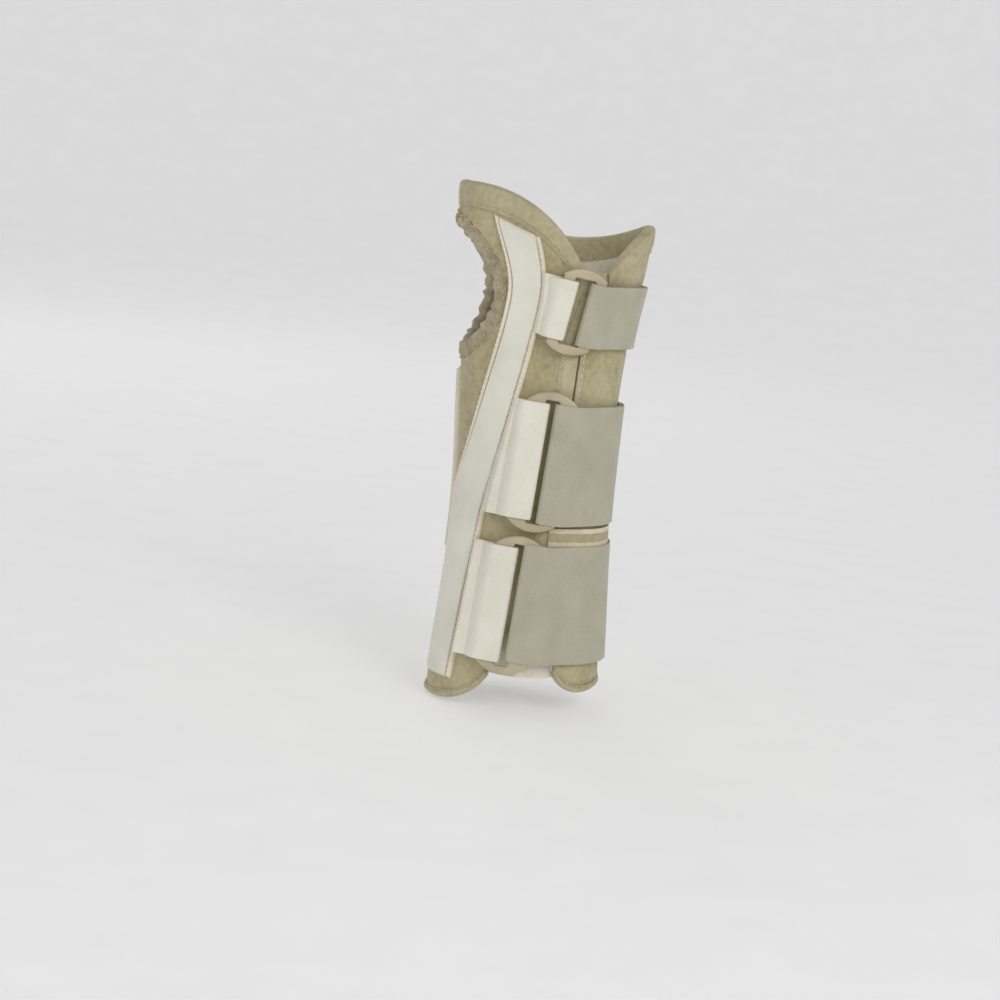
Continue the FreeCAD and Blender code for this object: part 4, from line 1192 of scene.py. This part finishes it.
def build_stage():
    """Pale round floor that curves up by a quarter ellipse into a wall on every side."""
    rise = np.linspace(0, QUARTER, 16)
    reach = np.concatenate([[0.02, 0.5, 1.0, 1.5], 1.6 + 1.2 * np.sin(rise), [2.8]])
    height = np.concatenate([np.zeros(4), 1.2 - 1.2 * np.cos(rise), [2.6]]) - 0.0004
    turn = np.linspace(0, 2 * math.pi, 97)[:-1, None]
    points = np.stack(np.broadcast_arrays(reach * np.cos(turn), reach * np.sin(turn), height), -1)
    faces = quads(*points.shape[:2], round_rows=True).reshape(-1, 4)
    middle = np.arange(len(turn)) * len(reach)
    bowl = add_mesh("studio_bowl", points.reshape(-1, 3) / MM, [*faces[:, ::-1], middle])
    paint = Paint("studio_paper", 0.95)
    grain = paint.noise(30.0, 2.0)
    paint.colour(paint.ramp(grain, [(0.3, (0.60, 0.60, 0.60)), (0.7, (0.63, 0.63, 0.63))]))
    paint.shader.inputs["Emission Color"].default_value = (1.0, 1.0, 1.0, 1.0)
    paint.shader.inputs["Emission Strength"].default_value = 0.36
    bowl.data.materials.append(paint.material)


def area_light(name, place, target, size, power, tint=(1, 1, 1)):
    """Square soft light that faces a target."""
    data = bpy.data.lights.new(name, "AREA")
    data.size, data.energy, data.color = size, power, tint
    light = bpy.data.objects.new(name, data)
    ahead = np.array(target) - np.array(place)
    ahead = ahead / np.linalg.norm(ahead)
    side = np.cross(ahead, (0, 0, 1))
    side = side / np.linalg.norm(side)
    up = np.cross(side, ahead)
    light.matrix_world = Matrix((
        (side[0], up[0], -ahead[0], place[0]), (side[1], up[1], -ahead[1], place[1]),
        (side[2], up[2], -ahead[2], place[2]), (0, 0, 0, 1)))
    bpy.context.collection.objects.link(light)


def build_lights():
    """Pale sky, a broad key from upper right in front, a fill and a soft one behind."""
    world = bpy.data.worlds.new("studio_sky")
    world.use_nodes = True
    world.node_tree.nodes["Background"].inputs[0].default_value = (1.0, 1.0, 1.0, 1)
    world.node_tree.nodes["Background"].inputs[1].default_value = 0.25
    bpy.context.scene.world = world
    middle = (0.0, 0.0, 0.11)
    area_light("key", (0.55, -1.2, 0.85), middle, 0.6, 5.4)
    area_light("fill", (-1.1, -1.0, 0.7), middle, 0.9, 0.8)
    area_light("rim", (-0.5, 1.3, 0.9), middle, 0.8, 2.0)


def build_camera():
    """Camera a metre and more off the back of the hand, looking slightly down."""
    pitch, roll = math.radians(8.5), math.radians(6.33)
    level = np.array((1.0, 0.0, 0.0))
    tall = np.array((0.0, math.sin(pitch), math.cos(pitch)))
    right = math.cos(roll) * level + math.sin(roll) * tall
    up = -math.sin(roll) * level + math.cos(roll) * tall
    back = np.cross(right, up)
    data = bpy.data.cameras.new("camera")
    data.lens, data.sensor_width = 100.0, 36.0
    camera = bpy.data.objects.new("camera", data)
    camera.matrix_world = Matrix([(*row, place) for row, place in
                                  zip(np.stack([right, up, back], 1),
                                      (-0.01307, -1.17124, 0.26006))] + [(0, 0, 0, 1)])
    bpy.context.collection.objects.link(camera)
    bpy.context.scene.camera = camera


build_stage()
build_lights()
build_camera()
bpy.context.scene.view_settings.view_transform = "Standard"

print("sheets", SHEETS)
